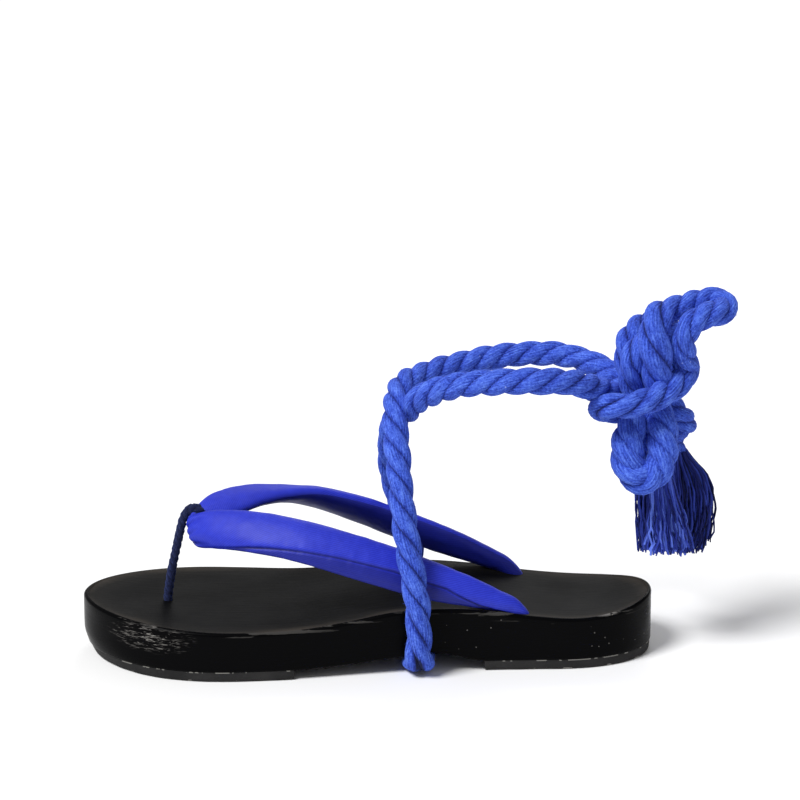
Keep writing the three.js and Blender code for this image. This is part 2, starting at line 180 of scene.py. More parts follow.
# Directions square to the route that turn with it and nothing more.
def carriedFacing(points, first):
    tangents = np.gradient(points, axis=0)
    tangents /= np.linalg.norm(tangents, axis=1)[:, None]
    facing = np.array(first, dtype=float)
    out = []
    for t in tangents:
        facing = facing - t * facing.dot(t)
        facing /= np.linalg.norm(facing)
        out.append(facing)
    return tangents, np.array(out)


# Camera, light and floor.
view = {
    "place": (-0.0100, -1.4153, 0.5097),
    "target": (0.01527, 0.02991, 0.1088),
    "focalLength": 146.5,
    "sensor": 36.0,
    "clipEnd": 20,
}
camera = bpy.data.objects.new("camera", bpy.data.cameras.new("camera"))
camera.data.lens = view["focalLength"]
camera.data.sensor_width = view["sensor"]
camera.data.clip_end = view["clipEnd"]
camera.location = view["place"]
aim = Vector(view["target"]) - Vector(view["place"])
camera.rotation_euler = aim.to_track_quat("-Z", "Y").to_euler()
bpy.context.scene.collection.objects.link(camera)
bpy.context.scene.camera = camera

studio = {
    "floorColour": "#fafafa",
    "floorHalf": 12,  # metres from the middle to an edge, so that no edge shows from a low side view
    "floorDrop": 0.0002,  # metres, keeps the floor clear of the treads
    "worldColour": "#ffffff",
    "worldStrength": 0.34,
    "lamps": [
        # name, kind, place, target, softness (degrees of a sun, metres across an area lamp), strength
        ("keyLamp", "SUN", (-0.75, -0.62, 1.3), (0.0, 0.0, 0.05), 22, 3.1),
        ("backLamp", "AREA", (0.3, 1.2, 1.0), (0.0, 0.0, 0.06), 0.8, 5),
    ],
}


def buildStudio():
    world = bpy.data.worlds.new("studio")
    bpy.context.scene.world = world
    world.use_nodes = True
    background = world.node_tree.nodes["Background"]
    background.inputs["Color"].default_value = linear(studio["worldColour"])
    background.inputs["Strength"].default_value = studio["worldStrength"]
    for name, kind, place, target, softness, strength in studio["lamps"]:
        data = bpy.data.lights.new(name, kind)
        data.energy = strength
        if kind == "SUN":
            data.angle = math.radians(softness)
        else:
            data.size = softness
        lamp = bpy.data.objects.new(name, data)
        lamp.location = place
        lamp.rotation_euler = (Vector(target) - Vector(place)).to_track_quat("-Z", "Y").to_euler()
        bpy.context.scene.collection.objects.link(lamp)
    # Matt studio paper: pale, even and without a shine.
    paper, node = newMaterial("matt studio paper")
    surface = node("ShaderNodeBsdfPrincipled", {
        "Base Color": linear(studio["floorColour"]), "Roughness": 0.9,
    })
    node("ShaderNodeOutputMaterial", {"Surface": surface})
    half, drop = studio["floorHalf"], studio["floorDrop"]
    corners = [(-half, -half, -drop), (half, -half, -drop), (half, half, -drop), (-half, half, -drop)]
    floor = newPiece("floor", meshFrom("floor", corners, [(0, 1, 2, 3)]), [paper], smooth=False)


buildStudio()
bpy.context.scene.view_settings.view_transform = "Standard"
say("camera and studio")

# Rope.
rope = {
    "diameter": 12.0,  # mm
    "strandRadius": 3.5,
    "lay": 34.0,  # length of one turn of a strand
    "layByHeight": [(30, 44), (90, 38), (120, 33)],  # the same for the ankle rope, by height
    "ringStep": 1.5,
    "yarns": 17,  # yarns seen round one strand
    "yarnRelief": 0.07,  # depth of the grooves between yarns, as a share of the strand's radius
    "yarnTurn": 70.0,  # radians per metre
    "colours": ("#6a90f8", "#3a59cf", "#1d3092", "#040828"),  # crests (painted highlight), body, between yarns (painted shade, with the fibres' own darker tones), between strands (painted shade)
    "fleckColour": "#93a8ee",
    "unevenness": 0.07,  # how much its thickness wanders, as a share, and over what length
    "unevenLength": 14,
    "strandMargin": 0.25,  # kept between a strand and half the rope's thickness
    "runTurns": (0.6, 0.6 + math.pi),  # where round the rope each run's first strand starts, radians
    "hairs": 55000,  # stray fibres per square metre of skin
    "hairLength": 1.9,
    "hairRadius": 0.05,
}

# Middles of the cords behind the ankle, mm. These routes are the solids' own.
cordRoutes = {
    "wrap": [
        (111.8, -12, 115.1), (107.9, -15.2, 116.2), (104.3, -20.6, 118.5), (103.4, -27.2, 121.2),
        (105.9, -32, 122.7), (111, -34, 123.2), (116.9, -33.6, 123.7), (123.9, -31, 125),
        (130.8, -26.6, 126.9), (137.2, -20.5, 129.2), (142.1, -13.5, 131.7), (143.3, -6, 134.8),
        (141.3, 0, 137.2),
    ],
    "turn": [
        (121.4, -13, 120.1), (118.4, -15.6, 126.8), (117.5, -18, 134.7), (118.3, -19, 141.8),
        (121, -17, 146.3), (124.7, -13, 145.9), (127.8, -10.4, 140), (128.9, -10, 133),
        (130.3, -9.4, 124.8),
    ],
    "upperLoop": [
        (131.3, -14, 122.1), (129.6, -19, 130.4), (128.2, -22.6, 139.3), (127.2, -23.6, 148.4),
        (127, -22, 156.2), (129.2, -17.5, 160.3), (134.3, -12, 161.3), (140.4, -8, 161.7),
        (146.9, -4.6, 162.7), (153.3, -3, 163.8), (158, -4.8, 163.8), (159.8, -9.6, 162.5),
        (157.4, -14.8, 161.3), (151.9, -18.6, 161.1), (146.3, -21.4, 159.5), (142, -22.8, 156.1),
        (140.2, -22, 150.4), (140.3, -19, 143.4), (142.2, -14.5, 135.9),
    ],
    "backLoop": [
        (124.3, -3.2, 126.2), (119, -6, 131), (116.2, -7, 138), (117.2, -3.4, 144.8), (121.6, 3, 149.2),
        (128, 9.6, 150.4), (135, 15.4, 148.6), (139.8, 19.8, 143.4), (140.8, 20.4, 136),
        (137.2, 16.2, 129.2), (130.2, 9.4, 124.4),
    ],
    "nearEnd": [
        (128.2, -10, 120), (129.6, -15, 117), (130.8, -20.5, 113), (131.4, -24, 107.2),
        (131.4, -25.6, 101), (130.5, -26.4, 94.8), (127.5, -27, 90.2), (123.1, -27.4, 88),
        (118.7, -27.2, 89.7), (116, -26.4, 94.7), (115.6, -25, 101.3), (116.8, -22.4, 107.7),
        (119.1, -19, 113), (122.1, -15, 116.9),
    ],
    "nearTail": [
        (128.1, -5.4, 117.2), (128.8, -6.2, 112), (128.2, -8.6, 105.4), (128, -10.4, 98.1),
        (129, -11.6, 91.4), (130.7, -12.4, 85.6), (132.3, -13, 81.1),
    ],
    "farEnd": [
        (130.7, 5, 116.9), (134.4, 3, 114.6), (139.2, 3.2, 110.8), (143.3, 6.6, 105.7),
        (144.6, 12.6, 101.3), (141.7, 17.8, 98.2), (135.9, 18.4, 97.6), (130.5, 14, 97.9),
        (129.2, 8, 97.6), (133.1, 5.2, 97.2), (138, 7.4, 96.5), (139.9, 10.6, 92.5), (140.3, 10.6, 86.6),
    ],
}

# Middle, width and thickness of the ankle rope: flat under the sole, round everywhere else, mm.
outerRun = [
    (22.5, 0, 4.4, 15.5, 6.8), (22.5, -18, 4.4, 15.5, 6.8), (22.5, -35.4, 4.2, 15.0, 6.4),
    (22.5, -41.8, 6.8, 13.6, 8.0), (22.5, -43.9, 13, 12.6, 10.4), (22.4, -44.2, 22, 12, 11.6),
    (21.8, -43.9, 34, 12, 12), (20.0, -42.4, 46, 12, 12), (17.6, -37.4, 60, 12, 12),
    (15.6, -32.0, 74, 12, 12), (14.2, -25.2, 88, 12, 12), (13.0, -17.4, 100.4, 12, 12),
    (12.2, -8.6, 111.4, 12, 12), (13.4, 1.0, 118.0, 12, 12), (16.6, 10.6, 121.6, 12, 12),
    (25.5, 21.6, 123.0, 12, 12), (43.0, 33.4, 125.0, 12, 12), (66.0, 40.0, 127.4, 12, 12),
    (89.0, 37.0, 128.4, 12, 12), (104.0, 27.6, 126.2, 12, 12), (113.4, 16.0, 123.2, 12, 12),
    (118.0, 5.0, 121.4, 12, 12),
]
innerRun = [
    (22.5, 0, 4.4, 15.5, 6.8), (22.5, 18, 4.4, 15.5, 6.8), (22.5, 35.4, 4.2, 15, 6.4),
    (22.5, 41.8, 6.8, 13.6, 8), (22.5, 43.9, 13, 12.6, 10.4), (22.2, 44.2, 22, 12, 11.6),
    (20.8, 43.9, 34, 12, 12), (18, 43.2, 46, 12, 12), (14.6, 38.2, 60, 12, 12),
    (11.6, 32.4, 74, 12, 12), (10.6, 24.6, 87, 12, 12), (11.2, 15.4, 98.4, 12, 12),
    (14, 6.6, 107.2, 12, 11), (18.6, -1.4, 112.6, 12, 11), (22.6, -10, 119.8, 12, 12),
    (30, -19.4, 126.4, 12, 12), (42.4, -29.6, 132.2, 12, 12), (59.6, -37.8, 135.6, 12, 12),
    (76.6, -40.6, 136.6, 12, 12), (89.6, -36.8, 135, 12, 12), (98.2, -28.6, 130.5, 12, 12),
    (104.3, -19.8, 126.4, 12, 12), (112.3, -8, 120.1, 12, 12),
]


# The cotton's patterns, mm.
cotton = {
    # streaks round a strand, how many times as long as wide each is, and detail
    "yarnStreaks": (26, 7.0, 2.0),
    "fibreStreaks": (70, 6.0, 3.0),
    "lint": 0.909,
    "patches": 6.25,
    "fleckSpacing": 4.76,
    "fleckSize": 0.075,  # as a share of the spacing
    "fleckPatches": 13.33,
    # how much the yarns' crests (lighter as a painted highlight), fibres, yarns, lint and patches shade it,
    # and what centres their sum on 0
    "shading": (0.25, 1.0, 0.8, 1.0, 0.5),
    "shadingMiddle": -1.85,
    "contrast": 1.35,
    "heightTone": 0.62,  # painted highlight: how much lighter the crest of a strand is than its side
    "level": -0.14,
    "grooveReach": 0.6,  # how far up a strand the painted shade of its groove reaches
}


# Cotton rope, brushed yarns laid in strands: soft matt fibre with a sheen of loose fuzz, painted shade in
# the grooves between strands and a painted highlight on each strand's crest, with a few pale flecks of lint.
def brushedCotton(name, crest, body, dark, groove):
    made, node = newMaterial(name)
    where = node("ShaderNodeTexCoord", out="Object")
    around = node("ShaderNodeAttribute", out="Vector", attribute_name="round")
    height, yarn, along = (
        node("ShaderNodeAttribute", out="Fac", attribute_name=stored)
        for stored in ("strandHeight", "yarnHeight", "along")
    )

    # a noise drawn out along the strand
    def streaks(count, stretch, detail):
        girth = 2 * math.pi * rope["strandRadius"] * mm
        reach = count / 2 / math.pi
        run = node("ShaderNodeMath", (along, count / girth / stretch), operation="MULTIPLY")
        run = node("ShaderNodeCombineXYZ", {"Z": run})
        place = node("ShaderNodeVectorMath", (around, (reach, reach, 0.0), run), operation="MULTIPLY_ADD")
        return node("ShaderNodeTexNoise", {
            "Vector": place, "Scale": 1.0, "Detail": detail, "Roughness": 0.6,
        })

    yarns, fibre = streaks(*cotton["yarnStreaks"]), streaks(*cotton["fibreStreaks"])
    lint = node("ShaderNodeTexNoise", {
        "Vector": where, "Scale": scaleOf(cotton["lint"]), "Detail": 3.0, "Roughness": 0.7,
    })
    patches = node("ShaderNodeTexNoise", {
        "Vector": where, "Scale": scaleOf(cotton["patches"]), "Detail": 3.0,
    })
    shade = cotton["shadingMiddle"]
    for pattern, amount in zip((yarn, fibre, yarns, lint, patches), cotton["shading"]):
        shade = node("ShaderNodeMath", (pattern, amount, shade), operation="MULTIPLY_ADD")
    tone = node("ShaderNodeMath", (shade, cotton["contrast"], cotton["level"]), operation="MULTIPLY_ADD")
    # painted highlight: the crest of each strand is made lighter than its sides
    tone = node("ShaderNodeMath", (height, cotton["heightTone"], tone), operation="MULTIPLY_ADD")
    colour = node("ShaderNodeValToRGB", {"Fac": tone}, stops=[(0.0, dark), (0.4, body), (1.0, crest)])
    # painted shade: the grooves between strands are mixed towards the dark groove colour
    outOfGroove = node("ShaderNodeMapRange", {
        "Value": height, "From Min": 0.0, "From Max": cotton["grooveReach"],
    }, interpolation_type="SMOOTHSTEP")
    colour = node("ShaderNodeMix", {0: outOfGroove, 6: linear(groove), 7: colour}, out=2, data_type="RGBA")

    fleck = node("ShaderNodeTexVoronoi", {"Vector": where, "Scale": scaleOf(cotton["fleckSpacing"])})
    fleck = node("ShaderNodeMath", (fleck, cotton["fleckSize"]), operation="LESS_THAN")
    here = node("ShaderNodeTexNoise", {"Vector": where, "Scale": scaleOf(cotton["fleckPatches"])})
    here = node("ShaderNodeMath", (here, 0.62), operation="GREATER_THAN")
    fleck = node("ShaderNodeMath", (fleck, here), operation="MULTIPLY")
    fleckColour = linear(rope["fleckColour"])
    colour = node("ShaderNodeMix", {0: fleck, 6: colour, 7: fleckColour}, out=2, data_type="RGBA")

    relief = node("ShaderNodeMath", (lint, 0.6, yarns), operation="MULTIPLY_ADD")
    relief = node("ShaderNodeMath", (fibre, 0.7, relief), operation="MULTIPLY_ADD")
    surface = node("ShaderNodeBsdfPrincipled", {
        "Base Color": colour,
        "Roughness": 0.88,
        "Specular IOR Level": 0.25,
        "Sheen Weight": 0.22,
        "Sheen Roughness": 0.5,
        "Sheen Tint": linear("#7f9bff"),
        "Normal": node("ShaderNodeBump", {"Height": relief, "Strength": 0.8, "Distance": 0.8 * mm}),
    })
    node("ShaderNodeOutputMaterial", {"Surface": surface})
    return made


ropeCotton = brushedCotton("brushed cotton rope", *rope["colours"])


# Lays three strands round each route and yarns along each strand.
def buildRopeTree():
    tree, node, put = startTree("layRope", [
        ("Ring Step", "Float", 0.00125),
        ("Yarns", "Int", 13),
        ("Yarn Relief", "Float", 0.045),
        ("Yarn Turn", "Float", 30.0),
        ("Hairs", "Float", 0.0),
        ("Hair Length", "Float", 0.002),
        ("Hair Radius", "Float", 0.00005),
        ("Material", "Material", None),
    ])
    position = node("GeometryNodeInputPosition")
    held = {
        name: node("GeometryNodeInputNamedAttribute", {"Name": name}, data_type=kind)
        for name, kind in (
            ("facing", "FLOAT_VECTOR"), ("core", "FLOAT_VECTOR"), ("along", "FLOAT"), ("turn", "FLOAT"),
            ("strand", "FLOAT"), ("wide", "FLOAT"), ("thick", "FLOAT"),
        )
    }
    line = node("GeometryNodeMeshToCurve", {"Mesh": put["Geometry"]})
    even = node("GeometryNodeResampleCurve", {"Curve": line, "Length": put["Ring Step"]}, mode="LENGTH")
    run = node("GeometryNodeSplineParameter", out="Length")
    for name, value, kind in (("along", run, "FLOAT"), ("core", position, "FLOAT_VECTOR")):
        store = {"Geometry": even, "Name": name, "Value": value}
        even = node("GeometryNodeStoreNamedAttribute", store, data_type=kind)

    # three copies of the line, each moved out to its strand's place
    tripled = node("GeometryNodeDuplicateElements", {"Geometry": even, "Amount": 3}, domain="SPLINE")
    index = tripled.node.outputs["Duplicate Index"]
    turn = node("ShaderNodeMath", (index, 2 * math.pi / 3, held["turn"]), operation="MULTIPLY_ADD")
    tangent = node("GeometryNodeInputTangent")
    beside = node("ShaderNodeVectorMath", (held["facing"], tangent), operation="CROSS_PRODUCT")
    ways = []
    for way, size, wave in ((beside, "wide", "COSINE"), (held["facing"], "thick", "SINE")):
        reach = node("ShaderNodeMath", (held[size], 0.5), operation="MULTIPLY")
        reach = node("ShaderNodeMath", (reach, held["strand"]), operation="SUBTRACT")
        swing = node("ShaderNodeMath", (turn,), operation=wave)
        reach = node("ShaderNodeMath", (swing, reach), operation="MULTIPLY")
        ways.append(node("ShaderNodeVectorMath", {"Vector": way, "Scale": reach}, operation="SCALE"))
    offset = node("ShaderNodeVectorMath", ways, operation="ADD")
    moved = node("GeometryNodeSetPosition", {"Geometry": tripled, "Offset": offset})
    tilt = node("ShaderNodeMath", (held["along"], put["Yarn Turn"]), operation="MULTIPLY")
    moved = node("GeometryNodeSetCurveTilt", {"Curve": moved, "Tilt": tilt})
    moved = node("GeometryNodeSetCurveRadius", {"Curve": moved, "Radius": held["strand"]})

    # the section: a circle of radius 1 with one lobe for each yarn
    sides = node("ShaderNodeMath", (put["Yarns"], 3.0), operation="MULTIPLY")
    circle = node("GeometryNodeCurvePrimitiveCircle", {"Resolution": sides, "Radius": 1.0})
    phase = node("GeometryNodeSplineParameter", out="Factor")
    phase = node("ShaderNodeMath", (phase, put["Yarns"]), operation="MULTIPLY")
    phase = node("ShaderNodeMath", (phase, math.pi), operation="MULTIPLY")
    lobe = node("ShaderNodeMath", (phase,), operation="COSINE")
    lobe = node("ShaderNodeMath", (lobe,), operation="ABSOLUTE")
    for name, value, kind in (("round", position, "FLOAT_VECTOR"), ("yarnHeight", lobe, "FLOAT")):
        store = {"Geometry": circle, "Name": name, "Value": value}
        circle = node("GeometryNodeStoreNamedAttribute", store, data_type=kind)
    swell = node("ShaderNodeMath", (lobe, 1.0), operation="SUBTRACT")
    swell = node("ShaderNodeMath", (swell, put["Yarn Relief"], 1.0), operation="MULTIPLY_ADD")
    swollen = node("ShaderNodeVectorMath", {"Vector": position, "Scale": swell}, operation="SCALE")
    circle = node("GeometryNodeSetPosition", {"Geometry": circle, "Position": swollen})
    skin = node("GeometryNodeCurveToMesh", {
        "Curve": moved, "Profile Curve": circle, "Scale": held["strand"], "Fill Caps": True,
    })

    # how far a point stands from the middle of the rope, 0 in the grooves and 1 on the crests
    away = node("ShaderNodeVectorMath", (position, held["core"]), operation="DISTANCE")
    full = node("ShaderNodeMath", (held["wide"], held["thick"]), operation="ADD")
    full = node("ShaderNodeMath", (full, 0.25), operation="MULTIPLY")
    share = node("ShaderNodeMath", (away, full), operation="DIVIDE")
    level = node("ShaderNodeMapRange", {
        "Value": share, "From Min": 0.67, "From Max": 0.9, "To Min": 0.0, "To Max": 1.0,
    })
    store = {"Geometry": skin, "Name": "strandHeight", "Value": level}
    skin = node("GeometryNodeStoreNamedAttribute", store)

    # stray fibres: short bent hairs that lean off the skin any way they like
    spots = node(
        "GeometryNodeDistributePointsOnFaces", {"Mesh": skin, "Density": put["Hairs"], "Seed": 5},
        distribute_method="RANDOM",
    )
    arc = node("GeometryNodeCurveQuadraticBezier", {
        "Resolution": 3, "Start": (0, 0, 0), "Middle": (0.35, 0, 0.3), "End": (1.0, 0, 0.25),
    })
    thin = node("GeometryNodeCurvePrimitiveCircle", {"Resolution": 3, "Radius": 1.0})
    slim = node("ShaderNodeMath", (put["Hair Radius"], put["Hair Length"]), operation="DIVIDE")
    hair = node("GeometryNodeCurveToMesh", {
        "Curve": arc, "Profile Curve": thin, "Scale": slim, "Fill Caps": True,
    })
    low, high = (0, -0.5, 0), (0, 0.3, 6.28)  # radians
    lean = node("FunctionNodeRandomValue", {0: low, 1: high, "Seed": 6}, data_type="FLOAT_VECTOR")
    lean = node("FunctionNodeEulerToRotation", (lean,))
    onSkin = spots.node.outputs["Rotation"]
    lean = node("FunctionNodeRotateRotation", (onSkin, lean), rotation_space="LOCAL")
    reach = node("FunctionNodeRandomValue", {2: 0.45, 3: 1.0, "Seed": 7}, data_type="FLOAT")
    reach = node("ShaderNodeMath", (reach, put["Hair Length"]), operation="MULTIPLY")
    hairs = node("GeometryNodeInstanceOnPoints", {
        "Points": spots, "Instance": hair, "Rotation": lean, "Scale": reach,
    })
    hairs = node("GeometryNodeRealizeInstances", {"Geometry": hairs})
    store = {"Geometry": hairs, "Name": "strandHeight", "Value": 1.0}
    hairs = node("GeometryNodeStoreNamedAttribute", store)
    both = node("GeometryNodeJoinGeometry", (skin,))
    tree.links.new(hairs, both.node.inputs[0])
    endTree(node, both, put["Material"])
    return tree


layRope = buildRopeTree()


# One rope over one or more routes. A row is x, y, z and, if it isn't round, width and thickness in mm.
# swell is a table of distance along the route and how much thicker the rope is there.
def layRopeAlong(
    name, runs, material, lay=None, swell=((0, 1), (1, 1)), firstFacing=(0, 0, -1), turns=(0, 0),
    strand=rope["strandRadius"], fuzz=1.0,
):
    points, edges, data, paths = [], [], {k: [] for k in ("facing", "wide", "thick", "turn", "strand")}, []
    for start, rows in zip(turns, runs):
        route, places, stops = smoothRoute(rows, 1.0)
        tangents, facing = carriedFacing(route, firstFacing)
        size = [(row[3], row[4]) if len(row) > 3 else (rope["diameter"],) * 2 for row in rows]
        bulge = np.interp(stops / mm, *zip(*swell))
        wander = [noise.noise(Vector((s / mm / rope["unevenLength"], start, 5))) for s in stops]
        bulge *= 1 + rope["unevenness"] * np.array(wander)
        wide = np.interp(places, range(len(rows)), [s[0] for s in size]) * mm * bulge
        thick = np.interp(places, range(len(rows)), [s[1] for s in size]) * mm * bulge
        layHere = np.array([(lay(*p) if lay else rope["lay"]) * mm for p in route / mm])
        turn = start - np.cumsum(2 * math.pi * np.diff(stops, prepend=0) / layHere)
        radius = np.minimum(strand * mm * bulge, thick / 2 - rope["strandMargin"] * mm)
        first = len(points)
        points.extend(route)
        edges.extend((first + i, first + i + 1) for i in range(len(route) - 1))
        for key, values in zip(data, (facing, wide, thick, turn, radius)):
            data[key].extend(values)
        paths.append(route)
    mesh = meshFrom(name, points, [], edges)
    for key, values in data.items():
        storeValues(mesh, key, values, "FLOAT_VECTOR" if key == "facing" else "FLOAT")
    piece = newPiece(name, mesh)
    runTree(piece, layRope, {
        "Ring Step": rope["ringStep"] * mm,
        "Yarns": rope["yarns"],
        "Yarn Relief": rope["yarnRelief"],
        "Yarn Turn": rope["yarnTurn"],
        "Hairs": rope["hairs"] * fuzz,
        "Hair Length": rope["hairLength"] * mm,
        "Hair Radius": rope["hairRadius"] * mm,
        "Material": material,
    })
    return piece, paths


# The loops and ends of the bow: routes joined end to end, the solid that each stands for, what it ends
# in, its lay by x, and how much thicker the rope is where it is slack, by distance along it.
bowCords = {
    "knotWrap": {
        "routes": ["wrap"], "solid": "bow_knot", "farEnd": "object", "layByX": [(0, 36)],
        "slack": [(0, 1), (40, 1), (52, 1.08), (66, 1)],
    },
    "upperLoop": {
        "routes": ["upperLoop"], "solid": "bow_loop_upper", "farEnd": "object",
        "layByX": [(129, 46), (134, 40), (143, 27)],
        "slack": [(0, 1.1), (12, 1.24), (32, 1.28), (52, 1.02), (95, 1)],
    },
    "backLoop": {
        "routes": ["backLoop"], "solid": "bow_loop_back", "farEnd": "object", "layByX": [(0, 34)],
        "slack": [(0, 1), (1, 1)],
    },
    "nearEnd": {
        "routes": ["nearEnd", "nearTail"], "solid": "rope_end_near", "farEnd": "bare", "layByX": [(0, 27)],
        "slack": [
            (0, 1), (8, 1.04), (16, 1.2), (32, 1.25), (44, 1.32), (58, 1.3), (68, 1.2), (84, 1.06),
            (94, 0.96), (110, 0.86), (140, 0.72),
        ],
    },
    "farEnd": {
        "routes": ["farEnd"], "solid": "rope_end_far", "farEnd": "bare", "layByX": [(0, 30)],
        "slack": [(0, 1), (1, 1)],
    },
}
nearHook = [(125.2, -10.4, 118.6)]  # where the near end passes under the knot to the front

for name, cord in bowCords.items():
    rows = list(cordRoutes[cord["routes"][0]])
    if len(cord["routes"]) > 1:
        rows += nearHook + cordRoutes[cord["routes"][1]][1:]
    piece, paths = layRopeAlong(
        name, [rows], ropeCotton, swell=cord["slack"], firstFacing=(0, -1, 0.3),
        lay=lambda x, y, z: float(np.interp(x, *zip(*cord["layByX"]))),
    )
    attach(piece, "root")
    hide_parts(cord["solid"])
smallLoop, _ = layRopeAlong("smallLoop", [cordRoutes["turn"]], ropeCotton, firstFacing=(0, -1, 0))
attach(smallLoop, "root")
say("bow ropes")

# Frayed ends.
tassels = {
    "nearTassel": {
        "rows": [
            (132.5, -13.2, 85.8, 10.4, 10.2), (132.8, -13.2, 80.8, 11.6, 10.4), (134, -13, 73.6, 14, 10.6),
            (135.4, -13, 63.5, 18.5, 11.5), (137.1, -13, 48, 23, 13),
        ],
        "threads": 230, "thickness": 0.95, "wave": 2.0, "seed": 3, "node": "tassel_near",
    },
    "farTassel": {
        "rows": [
            (140.2, 10.6, 90.1, 12, 11.6), (140.3, 10.4, 85.8, 18, 10.6), (140.5, 9.8, 78.9, 31, 11.4),
            (141.1, 8.8, 68.9, 36.5, 13), (141.2, 7.8, 55.8, 36, 13.5), (140.3, 7, 42.6, 32, 14),
        ],
        "threads": 420, "thickness": 0.95, "wave": 2.2, "seed": 11, "node": "tassel_far",
    },
}


# Unlaid yarns: each thread keeps its place in the bundle as it spreads, and waves a little on its way down.
def buildTasselTree():
    tree, node, put = startTree("frayEnd", [
        ("Threads", "Int", 200),
        ("Thread Radius", "Float", 0.00045),
        ("Wave", "Float", 0.001),
        ("Seed", "Int", 1),
        ("Material", "Material", None),
    ])
    held = {
        name: node("GeometryNodeInputNamedAttribute", {"Name": name}, data_type="FLOAT")
        for name in ("u", "v", "reach", "phase", "tint", "down", "wide", "thick")
    }
    # each thread's own numbers, every kind with a seed of its own
    drawn = {}
    for salt, (name, low, high) in enumerate([
        ("angle", 0.0, 2 * math.pi), ("spread", 0.0, 1.0), ("reach", 0.88, 1.0), ("clump", 0.0, 16.0),
        ("tint", 0.0, 1.0), ("offBeat", 0.0, 0.9),
    ]):
        seed = node("ShaderNodeMath", (put["Seed"], float(salt)), operation="ADD")
        drawn[name] = node("FunctionNodeRandomValue", {2: low, 3: high, "Seed": seed}, data_type="FLOAT")

    guide = node("GeometryNodeMeshToCurve", {"Mesh": put["Geometry"]})
    seedLine = node("GeometryNodeMeshLine", {"Count": put["Threads"]})
    single = node("GeometryNodeCurvePrimitiveLine", {"End": (0, 0, mm)})
    single = node("GeometryNodeResampleCurve", {"Curve": single, "Count": 15})
    many = node("GeometryNodeInstanceOnPoints", {"Points": seedLine, "Instance": single})
    spread = node("ShaderNodeMath", (drawn["spread"],), operation="SQRT")
    across, through = (
        node("ShaderNodeMath", (drawn["angle"],), operation=wave) for wave in ("COSINE", "SINE")
    )
    clump = node("ShaderNodeMath", (drawn["clump"],), operation="FLOOR")
    own = {
        "u": node("ShaderNodeMath", (across, spread), operation="MULTIPLY"),
        "v": node("ShaderNodeMath", (through, spread), operation="MULTIPLY"),
        "reach": drawn["reach"],
        "phase": node("ShaderNodeMath", (clump, 7.3, drawn["offBeat"]), operation="MULTIPLY_ADD"),
        "tint": drawn["tint"],
    }
    for name, value in own.items():
        store = {"Geometry": many, "Name": name, "Value": value}
        many = node("GeometryNodeStoreNamedAttribute", store, data_type="FLOAT", domain="INSTANCE")
    loose = node("GeometryNodeRealizeInstances", {"Geometry": many})
    share = node("GeometryNodeSplineParameter", out="Factor")
    share = node("ShaderNodeMath", (share, held["reach"]), operation="MULTIPLY")
    loose = node("GeometryNodeStoreNamedAttribute", {"Geometry": loose, "Name": "down", "Value": share})

    # the thread's place on the bundle's guide, and how far it waves off it
    waveSize = node("ShaderNodeMath", (held["down"], 0.7), operation="POWER")
    waveSize = node("ShaderNodeMath", (put["Wave"], waveSize), operation="MULTIPLY")
    shifts = []
    for place, size, salt, pace in (("u", "wide", 0.0, 4.4), ("v", "thick", 90.0, 3.6)):
        onGuide = node("GeometryNodeSampleCurve", {
            "Curves": guide, "Value": held[size], "Factor": held["down"],
        }, data_type="FLOAT", use_all_curves=True)
        where = node("ShaderNodeCombineXYZ", {
            "X": node("ShaderNodeMath", (held["phase"], salt), operation="ADD"),
            "Y": node("ShaderNodeMath", (held["down"], pace), operation="MULTIPLY"),
        })
        wave = node("ShaderNodeTexNoise", {"Vector": where, "Scale": 1.0, "Detail": 1.0})
        wave = node("ShaderNodeMath", (wave, 4.0, -2.0), operation="MULTIPLY_ADD")
        wave = node("ShaderNodeMath", (wave, waveSize), operation="MULTIPLY")
        half = node("ShaderNodeMath", (held[place], 0.5), operation="MULTIPLY")
        shifts.append(node("ShaderNodeMath", (half, onGuide, wave), operation="MULTIPLY_ADD"))
    offset = node("ShaderNodeCombineXYZ", shifts)
    middle = onGuide.node.outputs["Position"]
    spot = node("ShaderNodeVectorMath", (middle, offset), operation="ADD")
    loose = node("GeometryNodeSetPosition", {"Geometry": loose, "Position": spot})
    circle = node("GeometryNodeCurvePrimitiveCircle", {"Resolution": 6, "Radius": 1.0})
    thin = node("ShaderNodeMath", (held["tint"], 0.5, 0.7), operation="MULTIPLY_ADD")
    thin = node("ShaderNodeMath", (put["Thread Radius"], thin), operation="MULTIPLY")
    skin = node("GeometryNodeCurveToMesh", {
        "Curve": loose, "Profile Curve": circle, "Scale": thin, "Fill Caps": True,
    })
    endTree(node, skin, put["Material"])
    return tree


# Unlaid cotton: the same yarn, each thread a little lighter or darker, so that the bundle reads as threads.
def looseYarn(name, light, middle, dark):
    made, node = newMaterial(name)
    where = node("ShaderNodeTexCoord", out="Object")
    tint = node("ShaderNodeAttribute", out="Fac", attribute_name="tint")
    fibre = node("ShaderNodeTexNoise", {"Vector": where, "Scale": scaleOf(1.111), "Detail": 2.0})
    tone = node("ShaderNodeMath", (tint, 0.95, -0.15), operation="MULTIPLY_ADD")
    tone = node("ShaderNodeMath", (fibre, 0.3, tone), operation="MULTIPLY_ADD")
    stops = [(0.0, dark), (0.45, middle), (1.0, light)]
    surface = node("ShaderNodeBsdfPrincipled", {
        "Base Color": node("ShaderNodeValToRGB", {"Fac": tone}, stops=stops),
        "Roughness": 0.85,
        "Specular IOR Level": 0.25,
        "Sheen Weight": 0.3,
        "Sheen Roughness": 0.4,
        "Sheen Tint": linear("#7f9bff"),
        "Normal": node("ShaderNodeBump", {"Height": fibre, "Strength": 0.4, "Distance": 0.3 * mm}),
    })
    node("ShaderNodeOutputMaterial", {"Surface": surface})
    return made


